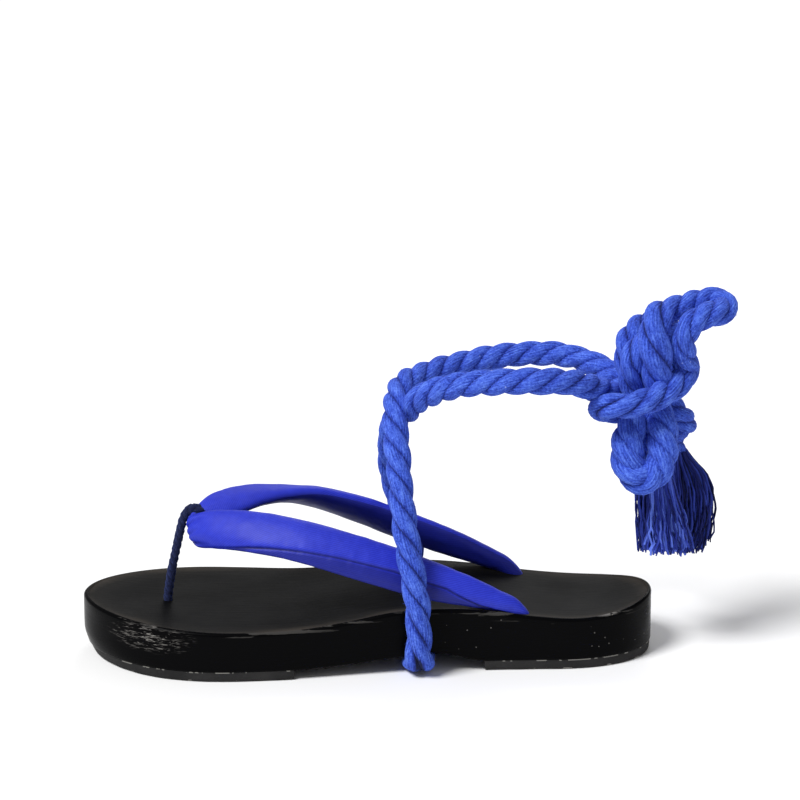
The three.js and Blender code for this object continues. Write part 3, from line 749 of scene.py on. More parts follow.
frayEnd = buildTasselTree()
yarnMaterials = {
    "nearTassel": looseYarn("unlaid cotton yarn", "#6884ee", "#26379f", "#0a1458"),
    # the far end's yarn has darker colours as painted shade, for the shade it hangs in behind the near end
    "farTassel": looseYarn("unlaid cotton yarn, painted shade", "#3548b0", "#121c66", "#040830"),
}
for name, tassel in tassels.items():
    rows = tassel["rows"]
    route, places, _ = smoothRoute(rows, 2.0)
    mesh = meshFrom(name, route, [], [(i, i + 1) for i in range(len(route) - 1)])
    storeValues(mesh, "wide", np.interp(places, range(len(rows)), [r[3] for r in rows]) * mm)
    storeValues(mesh, "thick", np.interp(places, range(len(rows)), [r[4] for r in rows]) * mm)
    piece = newPiece(name, mesh)
    runTree(piece, frayEnd, {
        "Threads": tassel["threads"],
        "Thread Radius": tassel["thickness"] / 2 * mm,
        "Wave": tassel["wave"] * mm,
        "Seed": tassel["seed"],
        "Material": yarnMaterials[name],
    })
    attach(piece, "root")
    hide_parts(tassel["node"])
    tassel["piece"] = piece

for name, cord in bowCords.items():
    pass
say("frayed ends and cords declared")

# Ankle rope.
ankleRope, _ = layRopeAlong(
    "ankleRope", [outerRun, innerRun], ropeCotton, turns=rope["runTurns"],
    lay=lambda x, y, z: float(np.interp(z, *zip(*rope["layByHeight"]))),
)
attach(ankleRope, "root")
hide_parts("ankle_rope")
say("ankle rope")

# Board.
sole = {
    "length": 260.0,
    # x, half width, top of the rim, underside, mm
    "stations": [
        (-130, 48.0, 27.4, 4.5), (-105, 48.0, 25.0, 4.5), (-77, 48.0, 23.2, 4.5), (-58, 48.0, 22.6, 4.5),
        (-33, 45.6, 22.9, 4.5), (-10, 41.6, 25.4, 5.4), (10, 38.6, 28.6, 7.2), (30, 36.4, 29.6, 9.0),
        (52, 34.9, 28.2, 4.5), (75, 34.2, 25.2, 4.5), (95, 34.0, 23.8, 4.5), (113, 34.0, 25.0, 4.5),
        (130, 34.0, 28.4, 4.5),
    ],
    "treadThick": 4.5,
    "toeRound": (62, 1.85),
    "heelRound": (46, 2.15),
    "toeBevel": (4.0, 11, 45, 1.3),  # inset, height, reach and how its curve tightens
    "edgeRound": 1.6,
    "lowerEdge": 0.8,
    "footbedDish": 1.4,
    "outlinePoints": 320,
    "endShrink": 0.12,
    "wallWave": 0.16,  # how uneven the hand-finished wall is, and how long and how high its waves are
    "waveLength": 13,
    "waveHeight": 6,
    "borderPoints": 720,
}
halfSole = sole["length"] / 2


def clamp01(t):
    return min(1.0, max(0.0, t))


def ease(t):
    return t * t * (3 - 2 * t)


# A smooth value between the rows of a table whose first column is x.
def alongRows(rows, x, column):
    i = 0
    while i < len(rows) - 2 and x > rows[i + 1][0]:
        i += 1
    p = [rows[max(i - 1, 0)], rows[i], rows[i + 1], rows[min(i + 2, len(rows) - 1)]]
    h = p[2][0] - p[1][0]
    t = clamp01((x - p[1][0]) / h)

    def slope(a, b):
        return 0.0 if a[0] == b[0] else (b[column] - a[column]) / (b[0] - a[0])

    m1, m2 = slope(p[0], p[2]) * h, slope(p[1], p[3]) * h
    d = p[2][column] - p[1][column]
    return p[1][column] + t * (m1 + t * (3 * d - 2 * m1 - m2 + t * (m1 + m2 - 2 * d)))


def halfWidthAt(x):
    toe = clamp01((-halfSole + sole["toeRound"][0] - x) / sole["toeRound"][0])
    heel = clamp01((x - halfSole + sole["heelRound"][0]) / sole["heelRound"][0])
    toePower, heelPower = sole["toeRound"][1], sole["heelRound"][1]
    rounding = (1 - toe**toePower) ** (1 / toePower) * (1 - heel**heelPower) ** (1 / heelPower)
    return alongRows(sole["stations"], x, 1) * rounding


def soleOutline(inset, count):
    edge = []
    for i in range(count):
        turn = 2 * math.pi * i / count
        x = halfSole * math.cos(turn)
        edge.append((x, math.copysign(halfWidthAt(x), math.sin(turn))))
    edge[0], edge[count // 2] = (halfSole, 0.0), (-halfSole, 0.0)
    moved = []
    for i, (x, y) in enumerate(edge):
        before, after = edge[i - 1], edge[(i + 1) % count]
        runX, runY = after[0] - before[0], after[1] - before[1]
        size = math.hypot(runX, runY)
        moved.append((x - runY / size * inset, y + runX / size * inset))
    return moved


def toeLean(x, z):
    inset, height, reach, curve = sole["toeBevel"]
    return inset * ease(clamp01((-x - halfSole + reach) / reach)) * clamp01(1 - z / height) ** curve


def rimTop(x):
    return alongRows(sole["stations"], x, 2)


def undersideAt(x):
    return max(sole["treadThick"], alongRows(sole["stations"], x, 3))


def footbedAt(x, y):
    across = clamp01(abs(y) / max(halfWidthAt(x), 1))
    return rimTop(x) - sole["footbedDish"] * (1 - across**2)


def ringFaces(ringCount, sides):
    faces = []
    for r in range(ringCount - 1):
        for i in range(sides):
            j = (i + 1) % sides
            a, b = r * sides, (r + 1) * sides
            faces.append((a + i, a + j, b + j, b + i))
    return faces


# The wall's skin from the middle line of the underside, round both edges, to the middle of the footbed.
def buildBoard(materials):
    count = sole["outlinePoints"]
    low, edge = sole["lowerEdge"], sole["edgeRound"]
    rings = []

    def addRing(inset, shrink, height, waves=0.0):
        ring = []
        for x0, y0 in soleOutline(inset, count):
            x, y = x0 * (1 - sole["endShrink"] * (1 - shrink)), y0 * shrink
            z = height(x, y)
            if waves:
                out = Vector((x0, y0, 0)).normalized()
                length, tall = sole["waveLength"], sole["waveHeight"]
                push = sole["wallWave"] * waves * noise.noise(Vector((x0 / length, y0 / length, z / tall)))
                x, y = x + out.x * push, y + out.y * push
            ring.append((x + toeLean(x, z), y, z))
        rings.append(ring)

    for share in (0, 0.2, 0.4, 0.6, 0.8, 0.95):
        addRing(low, share, lambda x, y: undersideAt(x))
    for turn in np.linspace(0, math.pi / 2, 4):
        addRing(low * (1 - math.sin(turn)), 1, lambda x, y, t=turn: undersideAt(x) + low * (1 - math.cos(t)))
    for share in np.linspace(0.12, 0.88, 9):
        addRing(0, 1, lambda x, y, s=share: (undersideAt(x) + low) * (1 - s) + (rimTop(x) - edge) * s, 1.0)
    for turn in np.linspace(0, math.pi / 2, 6):
        addRing(edge * (1 - math.cos(turn)), 1, lambda x, y, t=turn: rimTop(x) - edge * (1 - math.sin(t)))
    footbedFrom = len(rings) - 1
    for share in (0.985, 0.965, 0.94, 0.91, 0.87, 0.82, 0.76, 0.69, 0.61, 0.52, 0.42, 0.31, 0.2, 0.1, 0):
        addRing(edge, share, footbedAt)
    points = [Vector(p) * mm for ring in rings for p in ring]
    mesh = meshFrom("board", points, ringFaces(len(rings), count))
    board = newPiece("board", mesh, materials)
    onFootbed = [int(p.index // count >= footbedFrom) for p in mesh.polygons]
    mesh.polygons.foreach_set("material_index", onFootbed)
    joinMeshes([mesh], mergeWithin=0.02 * mm)
    border = np.array(soleOutline(0, sole["borderPoints"])) * mm
    flat = np.array([v.co[:2] for v in mesh.vertices])
    apart = np.min(np.linalg.norm(flat[:, None, :] - border[None, :, :], axis=2), axis=1)
    storeValues(mesh, "fromRim", apart / mm)
    heights = [v.co.z / mm - rimTop(v.co.x / mm) for v in mesh.vertices]
    storeValues(mesh, "belowRim", heights)
    return board


# Marks and patterns on the lacquer and the footbed, mm.
lacquer = {
    # middle and half size
    "wrinklesAndGlints": ((-96.8, -35.0, 18.5), (21.9, 52.5, 7.5)),
    "paleHeelMarks": ((108.0, -31.0, 25.0), (8.0, 9.0, 1.5)),
    "streaks": (38.5, 38.5, 2.38),
    "wrinkles": (5.88, 5.88, 0.667),
    "rubbedEdge": (4.5, 0.8),  # below the rim, from where the coat starts to wear to where it is worn
    "dustSpacing": 3.846,
    "dustSize": 0.085,  # as a share of the spacing
    "dustPatches": 41.7,
    "coat": "#050506",
    # the pale colour of rubbed wear and dust, also used for the painted glints on the wrinkles near the toe
    "wearAndGlint": "#8d8a86",
    "grain": (16.67, 1.923, 1.923),
    "clouds": 26.3,
    "dustyRim": (14.0, 1.5),
    "footbedTones": [(0.1, "#0a0a0b"), (0.55, "#171615"), (1.0, "#3a3530")],
}


# 1 in the middle of an oval place on the surface and 0 outside it.
def ovalMark(node, where, place):
    middle, half = place
    away = node("ShaderNodeVectorMath", (where, tuple(-m * mm for m in middle)), operation="ADD")
    away = node("ShaderNodeVectorMath", (away, tuple(scaleOf(h) for h in half)), operation="MULTIPLY")
    away = node("ShaderNodeVectorMath", (away,), operation="LENGTH")
    return node("ShaderNodeMapRange", {
        "Value": away, "From Min": 0.3, "From Max": 1.0, "To Min": 1.0, "To Max": 0.0,
    })


# A noise whose features have a size of their own along x, y and z.
def drawnNoise(node, where, sizes, inputs):
    place = node("ShaderNodeMapping", {"Vector": where, "Scale": tuple(scaleOf(size) for size in sizes)})
    return node("ShaderNodeTexNoise", {"Vector": place, "Scale": 1.0, **inputs})


# Black lacquer brushed on wood: a deep gloss that is a little uneven, with rubbed pale streaks by the top
# edge, fine dust, and a patch near the toe where the coat dried in wrinkles, their crests coloured pale as a
# painted highlight of glints.
def brushedLacquer():
    made, node = newMaterial("black brushed lacquer")
    where = node("ShaderNodeTexCoord", out="Object")
    below = node("ShaderNodeAttribute", out="Fac", attribute_name="belowRim")
    streak = drawnNoise(node, where, lacquer["streaks"], {"Detail": 5.0, "Roughness": 0.6})
    wearFrom, wornFrom = lacquer["rubbedEdge"]
    nearEdge = node("ShaderNodeMapRange", {"Value": below, "From Min": -wearFrom, "From Max": -wornFrom})
    rubbed = node("ShaderNodeMath", (streak, 0.6), operation="GREATER_THAN")
    rubbed = node("ShaderNodeMath", (rubbed, nearEdge), operation="MULTIPLY")
    speck = node("ShaderNodeTexVoronoi", {"Vector": where, "Scale": scaleOf(lacquer["dustSpacing"])})
    speck = node("ShaderNodeMath", (speck, lacquer["dustSize"]), operation="LESS_THAN")
    dusty = node("ShaderNodeTexNoise", {
        "Vector": where, "Scale": scaleOf(lacquer["dustPatches"]), "Detail": 2.0,
    })
    dusty = node("ShaderNodeMath", (dusty, 0.6), operation="GREATER_THAN")
    speck = node("ShaderNodeMath", (speck, dusty), operation="MULTIPLY")
    speck = node("ShaderNodeMath", (speck, 0.8), operation="MULTIPLY")
    marks = node("ShaderNodeMath", (rubbed, 0.35, speck), operation="MULTIPLY_ADD")
    marks = node("ShaderNodeMath", (marks, 1.0), operation="MINIMUM")

    wrinkle = drawnNoise(node, where, lacquer["wrinkles"], {"Detail": 2.0, "Distortion": 1.4})
    # painted highlight: the crests of the wrinkles in the patch near the toe are coloured pale as glints
    crest = node("ShaderNodeMapRange", {"Value": wrinkle, "From Min": 0.56, "From Max": 0.68})
    patch = ovalMark(node, where, lacquer["wrinklesAndGlints"])
    wrinklesAndGlints = node("ShaderNodeMath", (crest, patch), operation="MULTIPLY")
    marks = node("ShaderNodeMath", (marks, 0.45, wrinklesAndGlints), operation="MULTIPLY_ADD")
    # pale marks in the wrinkle pattern by the heel's top edge
    heelMarks = node("ShaderNodeMath", (wrinkle, 0.5), operation="GREATER_THAN")
    heelMarks = node("ShaderNodeMath", (heelMarks, ovalMark(node, where, lacquer["paleHeelMarks"])), operation="MULTIPLY")
    marks = node("ShaderNodeMath", (heelMarks, 0.8, marks), operation="MULTIPLY_ADD")
    marks = node("ShaderNodeMath", (marks, 1.0), operation="MINIMUM")

    rough = node("ShaderNodeMath", (streak, 0.16, 0.2), operation="MULTIPLY_ADD")
    rough = node("ShaderNodeMath", (marks, 0.3, rough), operation="MULTIPLY_ADD")
    depth = node("ShaderNodeMath", (patch, 1.0, 0.03), operation="MULTIPLY_ADD")
    relief = node("ShaderNodeMath", (streak, 0.12), operation="MULTIPLY")
    relief = node("ShaderNodeMath", (wrinkle, depth, relief), operation="MULTIPLY_ADD")
    coat, wearAndGlint = linear(lacquer["coat"]), linear(lacquer["wearAndGlint"])
    surface = node("ShaderNodeBsdfPrincipled", {
        "Base Color": node("ShaderNodeMix", {0: marks, 6: coat, 7: wearAndGlint}, out=2, data_type="RGBA"),
        "Roughness": rough,
        "IOR": 1.5,
        "Specular IOR Level": 0.035,
        "Normal": node("ShaderNodeBump", {"Height": relief, "Strength": 0.6, "Distance": 0.7 * mm}),
    })
    node("ShaderNodeOutputMaterial", {"Surface": surface})
    return made


# Footbed: the same black coat rubbed to a satin, greyish with dust along its rim, with a faint grain.
def rubbedFootbed():
    made, node = newMaterial("rubbed satin footbed")
    where = node("ShaderNodeTexCoord", out="Object")
    rim = node("ShaderNodeAttribute", out="Fac", attribute_name="fromRim")
    grain = drawnNoise(node, where, lacquer["grain"], {"Detail": 5.0, "Roughness": 0.6})
    cloud = node("ShaderNodeTexNoise", {"Vector": where, "Scale": scaleOf(lacquer["clouds"]), "Detail": 4.0})
    clean, dusty = lacquer["dustyRim"]
    strip = node("ShaderNodeMapRange", {"Value": rim, "From Min": clean, "From Max": dusty})
    dust = node("ShaderNodeMath", (cloud, 1.1, 0.15), operation="MULTIPLY_ADD")
    dust = node("ShaderNodeMath", (strip, dust), operation="MULTIPLY")
    tone = node("ShaderNodeMath", (grain, 0.25, dust), operation="MULTIPLY_ADD")
    surface = node("ShaderNodeBsdfPrincipled", {
        "Base Color": node("ShaderNodeValToRGB", {"Fac": tone}, stops=lacquer["footbedTones"]),
        "Roughness": node("ShaderNodeMath", (cloud, 0.25, 0.36), operation="MULTIPLY_ADD"),
        "Specular IOR Level": 0.04,
        "Normal": node("ShaderNodeBump", {"Height": grain, "Strength": 0.35, "Distance": 0.4 * mm}),
    })
    node("ShaderNodeOutputMaterial", {"Surface": surface})
    return made


boardPiece = buildBoard([brushedLacquer(), rubbedFootbed()])
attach(boardPiece, "root")
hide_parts("sole_board")
say("board")

# Treads.
treads = {
    "frontTread": {"side": -1, "cut": -33.0, "node": "front_tread"},
    "heelTread": {"side": 1, "cut": 52.0, "node": "heel_tread"},
    "insets": [(2.6, 0.9), (1.5, 0.0), (1.0, 0.15), (0.6, 0.7), (0.45, 2.4), (0.4, 4.5)],  # inset, height
    "edgeWave": 0.35,  # how far the hand-cut lower edge wanders, over what length, and below what height
    "waveLength": 9,
    "waveBelow": 1,
    "flatInset": 1.4,  # what lies further in than this is flat on the ground
    "cutBevel": 0.6,
    "ribPitch": 5.0,
    "ribWidth": 3.2,
    "ribDepth": 0.9,
    "endMargin": 3.0,
    "sideMargin": 2.9,
    "tipMargin": 7,
    "shortestRib": 10,
    "sharpFrom": 35,  # degrees
    # the rubber's patterns, and where it shows glue and scuffs
    "poreSize": 1.111,
    "cloudSize": 18.18,
    "dropSize": 7.69,
    "glueFrom": 4.05,
    "scuffTo": 0.7,
}


# Cross ribs under a tread: a bar at each point, as long as the point's "reach" says.
def buildRibTree():
    tree, node, put = startTree("treadRibs", [
        ("Rib Width", "Float", 0.003),
        ("Rib Depth", "Float", 0.001),
        ("Material", "Material", None),
    ])
    reach = node("GeometryNodeInputNamedAttribute", {"Name": "reach"}, data_type="FLOAT")
    bar = node("GeometryNodeMeshCube", {"Size": (1.0, 1.0, 1.0)})
    size = node("ShaderNodeCombineXYZ", {"X": put["Rib Width"], "Y": reach, "Z": put["Rib Depth"]})
    bars = node("GeometryNodeInstanceOnPoints", {"Points": put["Geometry"], "Instance": bar, "Scale": size})
    endTree(node, bars, put["Material"])
    return tree


# Black moulded rubber: matt, greyed by dust, with fine pores.
def mouldedRubber():
    made, node = newMaterial("matt moulded rubber")
    where = node("ShaderNodeTexCoord", out="Object")
    pores, cloud, drops = (
        node("ShaderNodeTexNoise", {"Vector": where, "Scale": scaleOf(treads[size]), **inputs})
        for size, inputs in (
            ("poreSize", {"Detail": 3.0}), ("cloudSize", {"Detail": 4.0}),
            ("dropSize", {"Detail": 3.0, "Roughness": 0.7}),
        )
    )
    tone = node("ShaderNodeMath", (pores, 0.3, -0.15), operation="MULTIPLY_ADD")
    tone = node("ShaderNodeMath", (cloud, 0.9, tone), operation="MULTIPLY_ADD")
    rubber = node("ShaderNodeValToRGB", {"Fac": tone}, stops=[(0.2, "#161617"), (0.85, "#343333")])
    # pale drops of glue by the joint with the board, and scuffs by the ground
    up = node("ShaderNodeSeparateXYZ", (where,), out="Z")
    pale = []
    for zone, height, limit in (
        ("GREATER_THAN", treads["glueFrom"], 0.55), ("LESS_THAN", treads["scuffTo"], 0.6),
    ):
        here = node("ShaderNodeMath", (up, height * mm), operation=zone)
        drop = node("ShaderNodeMath", (drops, limit), operation="GREATER_THAN")
        pale.append(node("ShaderNodeMath", (here, drop), operation="MULTIPLY"))
    share = node("ShaderNodeMath", pale, operation="MAXIMUM")
    share = node("ShaderNodeMath", (share, 0.6), operation="MULTIPLY")
    colour = {0: share, 6: rubber, 7: linear("#a3a19b")}
    surface = node("ShaderNodeBsdfPrincipled", {
        "Base Color": node("ShaderNodeMix", colour, out=2, data_type="RGBA"),
        "Roughness": 0.82,
        "Specular IOR Level": 0.25,
        "Normal": node("ShaderNodeBump", {"Height": pores, "Strength": 0.4, "Distance": 0.3 * mm}),
    })
    node("ShaderNodeOutputMaterial", {"Surface": surface})
    return made


def buildTread(name, side, cut, material):
    count = sole["outlinePoints"]
    rings = []
    for inset, height in treads["insets"]:
        edge = soleOutline(inset, count)
        if side > 0:
            edge = edge[count // 2 :] + edge[: count // 2]
        kept = [p for p in edge if side * (p[0] - cut) > 0.4]
        corner = halfWidthAt(cut) - inset
        squareTo = cut + side * min(inset, 1.0) * treads["cutBevel"]
        kept = [(squareTo, -side * corner)] + kept + [(squareTo, side * corner)]
        ring = []
        for x, y in kept:
            wander = 0
            if height < treads["waveBelow"] and inset < treads["flatInset"]:
                spot = Vector((x / treads["waveLength"], y / treads["waveLength"], side))
                wander = treads["edgeWave"] * noise.noise(spot)
            z = max(0.0, height + wander)
            ring.append((x + toeLean(x, z), y, z))
        rings.append(ring)
    sides = min(len(r) for r in rings)
    rings = [r[: sides // 2] + r[len(r) - (sides - sides // 2) :] for r in rings]
    points = [Vector(p) * mm for ring in rings for p in ring]
    faces = ringFaces(len(rings), sides)
    faces.append(tuple(range(sides - 1, -1, -1)))
    last = (len(rings) - 1) * sides
    faces.append(tuple(range(last, last + sides)))
    body = meshFrom(name, points, faces)
    spots, reaches = [], []
    x = cut + side * treads["endMargin"]
    while abs(x) < halfSole - treads["tipMargin"]:
        halfRib = treads["ribWidth"] / 2
        halfReach = min(halfWidthAt(x - halfRib), halfWidthAt(x + halfRib)) - treads["sideMargin"]
        if 2 * halfReach > treads["shortestRib"]:
            spots.append((x * mm + toeLean(x, 0.5) * mm, 0, 0.5 * treads["ribDepth"] * mm))
            reaches.append(2 * halfReach * mm)
        x += side * treads["ribPitch"]
    ribLine = meshFrom(name + "Ribs", spots, [])
    storeValues(ribLine, "reach", reaches)
    ribs = newPiece(name + "Ribs", ribLine)
    runTree(ribs, ribTree, {
        "Rib Width": treads["ribWidth"] * mm,
        "Rib Depth": treads["ribDepth"] * mm,
        "Material": material,
    })
    joinMeshes([body, ribs.data])
    bpy.data.objects.remove(ribs)
    piece = newPiece(name, body, [material])
    body.polygons.foreach_set("material_index", [0] * len(body.polygons))
    body.set_sharp_from_angle(angle=math.radians(treads["sharpFrom"]))
    return piece


ribTree = buildRibTree()
treadRubber = mouldedRubber()
for name in ("frontTread", "heelTread"):
    tread = treads[name]
    piece = buildTread(name, tread["side"], tread["cut"], treadRubber)
    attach(piece, "root")
    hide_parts(tread["node"])
say("treads")

# Thong strap.
strap = {
    # x, y, z, width, thickness (mm) and how far its outer face looks up (degrees), from apex to heel
    "littleToeArm": [
        (-81, -1.5, 55.5, 13, 6.5, 10), (-77, -4.5, 57.2, 15.5, 8.0, 20),
        (-67, -11.5, 60.0, 18.5, 8.8, 34), (-50, -20.0, 61.2, 20.0, 8.8, 42),
        (-28, -27.0, 58.6, 20.4, 8.6, 42), (-5, -30.2, 52.4, 20.2, 8.4, 38),
        (18, -30.6, 44.8, 19.0, 8.2, 32), (38, -30.4, 38.2, 15.4, 8.2, 26),
        (54, -29.6, 32.8, 11.0, 8.0, 22), (65, -28.8, 28.2, 8.0, 7.2, 20),
        (70.6, -28.2, 21.6, 6.6, 6.6, 10), (72, -28.0, 13.0, 6.2, 6.2, 0),
    ],
    "bigToeLean": [30, 60, 72, 46, 20, 10, 6, 4, 2, 0, 0, 0],  # how much more its face looks up
    "bigToeRise": [1.5, 2.4, 4, 5.4, 5.4, 4.2, 2.8, 1.6, 0.6, 0, 0, 0],  # how much higher the other arm runs
    "sides": 120,
    "spacing": 1.0,
    "squareness": 2.1,
    "endRound": 3.5,  # length over which the end at the toe rounds over
    # the seam's place across the width, 0 at the top edge and 1 at the lower edge, by x
    "seam": [(-90, 1.1), (-57, 1.0), (-40, 0.89), (-11, 0.69), (12, 0.6), (35, 0.63), (51, 0.95), (80, 1.1)],
    "seamDepth": 1.1,
    "seamWidth": 0.6,
    "tuck": 0.9,  # how far the cloth below the seam lies in
    "tuckReach": 1.6,
    "pucker": 0.22,
    "puckerReach": 3.5,
    "puckerLength": 2.2,
    # folds where the strap is drawn in at the toe: place across the width at the toe and where they fade
    # out, depth and reach in mm
    "folds": [(0.27, 0.2, 1.2, 9), (0.6, 0.5, 0.6, 12), (0.87, 0.93, 1.1, 11)],
    # depth, length along, waves across and a number of its own for each layer of rumples
    "rumples": [(0.3, 16, 2.4, 3), (0.15, 5.5, 4, 9)],
    "openEnd": 0.35,  # the width left at the very end at the toe, as a share
}


def buildArm(name, rows, side):
    route, places, stops = smoothRoute([(r[0], -side * r[1], r[2]) for r in rows], strap["spacing"])
    route = route / mm
    index = [(i, *r) for i, r in enumerate(rows)]
    sides, power = strap["sides"], 2 / strap["squareness"]
    tangents = np.gradient(route, axis=0)
    points, wovenAlong, wovenAround, seamAway = [], [], [], []
    for middle, run, place, far in zip(route, tangents, places, stops / mm):
        run = Vector(run).normalized()
        lean = math.radians(alongRows(index, place, 6))
        thin = Vector((0, side * math.cos(lean), math.sin(lean)))
        thin = (thin - run * thin.dot(run)).normalized()
        wide = thin.cross(run)
        inFromEnd = min(far / strap["endRound"], 1.0)
        drawnIn = strap["openEnd"] + (1 - strap["openEnd"]) * math.sqrt(1 - (1 - inFromEnd) ** 2)
        a, b = alongRows(index, place, 4) / 2 * drawnIn, alongRows(index, place, 5) / 2 * drawnIn
        seamShare = np.interp(middle[0], [s[0] for s in strap["seam"]], [s[1] for s in strap["seam"]])
        ring = []
        for i in range(sides):
            turn = 2 * math.pi * i / sides
            c, s = math.cos(turn), math.sin(turn)
            u = a * math.copysign(abs(c) ** power, c)
            v = b * math.copysign(abs(s) ** power, s)
            share = (1 + side * u / a) / 2
            outer = clamp01(v / b * 2) if s > 0 else 0.0
            fromSeam = (share - seamShare) * 2 * a
            seamAway.append(fromSeam if s > -0.3 else 9.0)
            groove = strap["seamDepth"] * math.exp(-((fromSeam / strap["seamWidth"]) ** 2))
            tuck = strap["tuck"] * clamp01(fromSeam / strap["tuckReach"] + 0.4)
            pucker = strap["pucker"] * math.exp(-((fromSeam / strap["puckerReach"]) ** 2))
            tuck += pucker * noise.noise(Vector((far / strap["puckerLength"], side, 4.0)))
            fold = 0.0
            for start, stop, depth, reach in strap["folds"]:
                way = start + (stop - start) * min(far / reach, 1.4)
                width = (0.7 + 0.06 * far) / (2 * a)
                fold += depth * math.exp(-((far / reach) ** 2) - ((share - way) / width) ** 2)
            rumple = 0.0
            for depth, length, waves, own in strap["rumples"]:
                rumple += depth * noise.noise(Vector((far / length, share * waves, side * own)))
            press = outer * (groove + tuck + fold) - rumple
            normal = Vector((u / a / a, v / b / b, 0)).normalized()
            u, v = u - normal.x * press, v - normal.y * press
            ring.append(Vector(middle) + wide * u + thin * v)
        points.append(ring)
        lengths = [(ring[i] - ring[i - 1]).length for i in range(sides)]
        wovenAround.append(np.cumsum([0.0, *lengths[1:], lengths[0]]))
        wovenAlong.append(far)
    count = len(points)
    flat = [p * mm for ring in points for p in ring]
    faces = ringFaces(count, sides)
    quads = len(faces)
    faces.append(tuple(range(sides)))
    faces.append(tuple(range(count * sides - 1, (count - 1) * sides - 1, -1)))
    mesh = meshFrom(name, flat, faces)
    weave = mesh.uv_layers.new(name="weave")
    for face in mesh.polygons:
        if face.index >= quads:
            for loop in face.loop_indices:
                weave.data[loop].uv = (0, 0)
            continue
        r, i = divmod(face.index, sides)
        corners = ((r, i), (r, i + 1), (r + 1, i + 1), (r + 1, i))
        for loop, (ring, column) in zip(face.loop_indices, corners):
            weave.data[loop].uv = (wovenAlong[ring] * mm, wovenAround[ring][column] * mm)
    return mesh, seamAway


# Twill's spacings in mm, a little coarser than the cloth so that they show, and its colours.
twill = {
    "wale": 0.95,
    "weft": 0.6,
    "slant": 55,  # degrees
    "slubs": 2.38,
    "clouds": 22.2,
    "tones": [(0.0, "#151c8a"), (0.5, "#2330b8"), (1.0, "#3747d2")],
    "shadow": "#0b0f5a",  # painted shade in the seam's groove and on the cloth below the seam
    "seamLine": (0.15, 0.25, 0.75),  # where its middle lies, and from where to where it fades
    "belowSeam": 1.5,
}


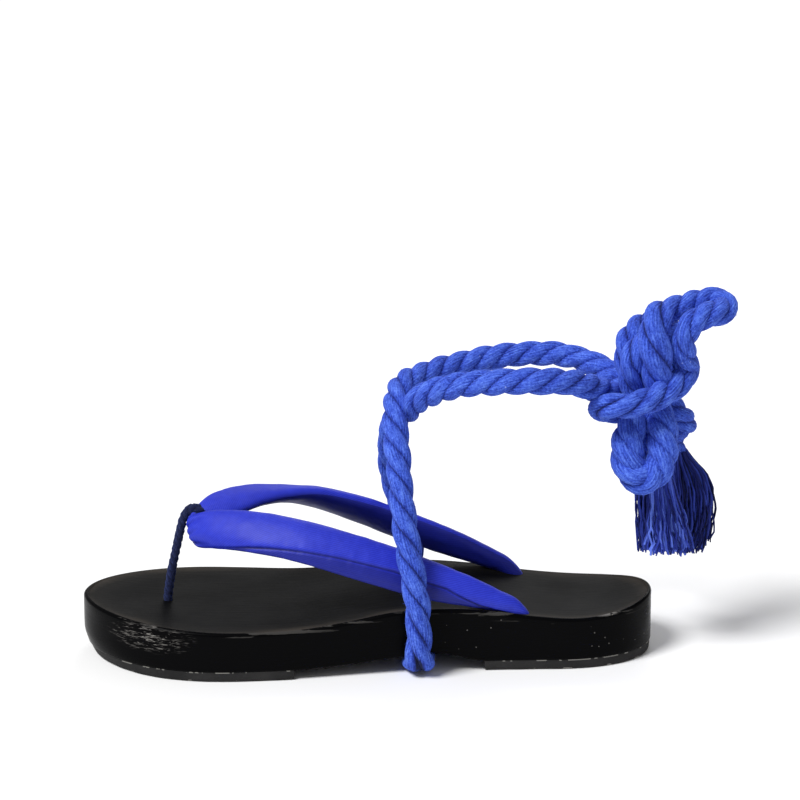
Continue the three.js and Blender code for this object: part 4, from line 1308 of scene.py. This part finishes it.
# Cotton twill over padding: fine diagonal ribs, saturated blue, soft broad highlights.
def cottonTwill():
    made, node = newMaterial("cotton twill")
    threads = node("ShaderNodeUVMap", uv_map="weave")
    where = node("ShaderNodeTexCoord", out="Object")
    slant = math.radians(twill["slant"])
    cloth = 0.5
    for spacing, x, y, amount in (
        (twill["weft"], math.sin(slant), -math.cos(slant), 0.1),
        (twill["wale"], math.cos(slant), math.sin(slant), 0.13),
    ):
        way = tuple(share * 2 * math.pi * scaleOf(spacing) for share in (x, y, 0.0))
        wave = node("ShaderNodeVectorMath", (threads, way), operation="DOT_PRODUCT")
        wave = node("ShaderNodeMath", (wave,), operation="SINE")
        cloth = node("ShaderNodeMath", (wave, amount, cloth), operation="MULTIPLY_ADD")
    tone = cloth
    for size, amount, inputs in (
        (twill["slubs"], 0.5, {"Detail": 4.0, "Roughness": 0.7}), (twill["clouds"], 0.4, {"Detail": 2.0}),
    ):
        uneven = node("ShaderNodeTexNoise", {"Vector": where, "Scale": scaleOf(size), **inputs})
        uneven = node("ShaderNodeMath", (uneven, 0.5), operation="SUBTRACT")
        tone = node("ShaderNodeMath", (uneven, amount, tone), operation="MULTIPLY_ADD")
    colour = node("ShaderNodeValToRGB", {"Fac": tone}, stops=twill["tones"])
    # painted shade: the seam's groove is coloured as a dark line, and the cloth below the seam is darkened
    # as if it lay in shade
    seam = node("ShaderNodeAttribute", out="Fac", attribute_name="fromSeam")
    middle, fadeFrom, fadeTo = twill["seamLine"]
    line = node("ShaderNodeMath", (seam, middle), operation="SUBTRACT")
    line = node("ShaderNodeMath", (line,), operation="ABSOLUTE")
    line = node("ShaderNodeMapRange", {
        "Value": line, "From Min": fadeFrom, "From Max": fadeTo, "To Min": 0.75, "To Max": 0.0,
    })
    lower = node("ShaderNodeMapRange", {
        "Value": seam, "From Min": 0.0, "From Max": twill["belowSeam"], "To Min": 0.0, "To Max": 0.62,
    })
    share = node("ShaderNodeMath", (line, lower), operation="MAXIMUM")
    shade = {0: share, 6: colour, 7: linear(twill["shadow"])}
    surface = node("ShaderNodeBsdfPrincipled", {
        "Base Color": node("ShaderNodeMix", shade, out=2, data_type="RGBA"),
        "Roughness": 0.5,
        "Specular IOR Level": 0.28,
        "Sheen Weight": 0.06,
        "Sheen Roughness": 0.35,
        "Sheen Tint": linear("#8f96ff"),
        "Normal": node("ShaderNodeBump", {"Height": cloth, "Strength": 0.35, "Distance": 0.3 * mm}),
    })
    node("ShaderNodeOutputMaterial", {"Surface": surface})
    return made


littleToeRows = strap["littleToeArm"]
bigToeRows = [
    (*r[:2], r[2] + rise, *r[3:5], r[5] + lean)
    for r, rise, lean in zip(littleToeRows, strap["bigToeRise"], strap["bigToeLean"])
]
strapMesh, seamAway = buildArm("thongStrap", littleToeRows, -1)
otherMesh, otherSeamAway = buildArm("otherArm", bigToeRows, 1)
joinMeshes([strapMesh, otherMesh])
storeValues(strapMesh, "fromSeam", seamAway + otherSeamAway)
thongStrap = newPiece("thongStrap", strapMesh, [cottonTwill()])
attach(thongStrap, "root")
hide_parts("hanao_strap")
say("thong strap")

# Toe post.
toePost = {
    "rows": [
        (-91.5, 0, 11), (-91.5, 0, 24), (-89.6, 0, 37), (-87.2, 0, 48), (-85.4, 0, 56), (-83.6, 0, 62.4),
        (-80.6, 0, 66.4), (-77, 0, 66.4), (-75.4, 0, 62.5),
    ],
    "diameter": 4.4,
    "strandRadius": 1.35,
    "lay": 10.0,
}
# Navy twisted cord, hard and close: dark with a slight sheen on each strand; like the rope it has a painted
# highlight on the strands' crests and painted shade in their grooves.
navyCord = brushedCotton("navy twisted cord", "#26305e", "#171d40", "#0e1228", "#05070f")
postRows = [(*row, toePost["diameter"], toePost["diameter"]) for row in toePost["rows"]]
postPiece, _ = layRopeAlong(
    "toePost", [postRows], navyCord, lay=lambda *place: toePost["lay"], firstFacing=(0, -1, 0),
    strand=toePost["strandRadius"], fuzz=0.4,
)
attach(postPiece, "root")
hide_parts("toe_post")
say("toe post")

bpy.context.view_layer.update()
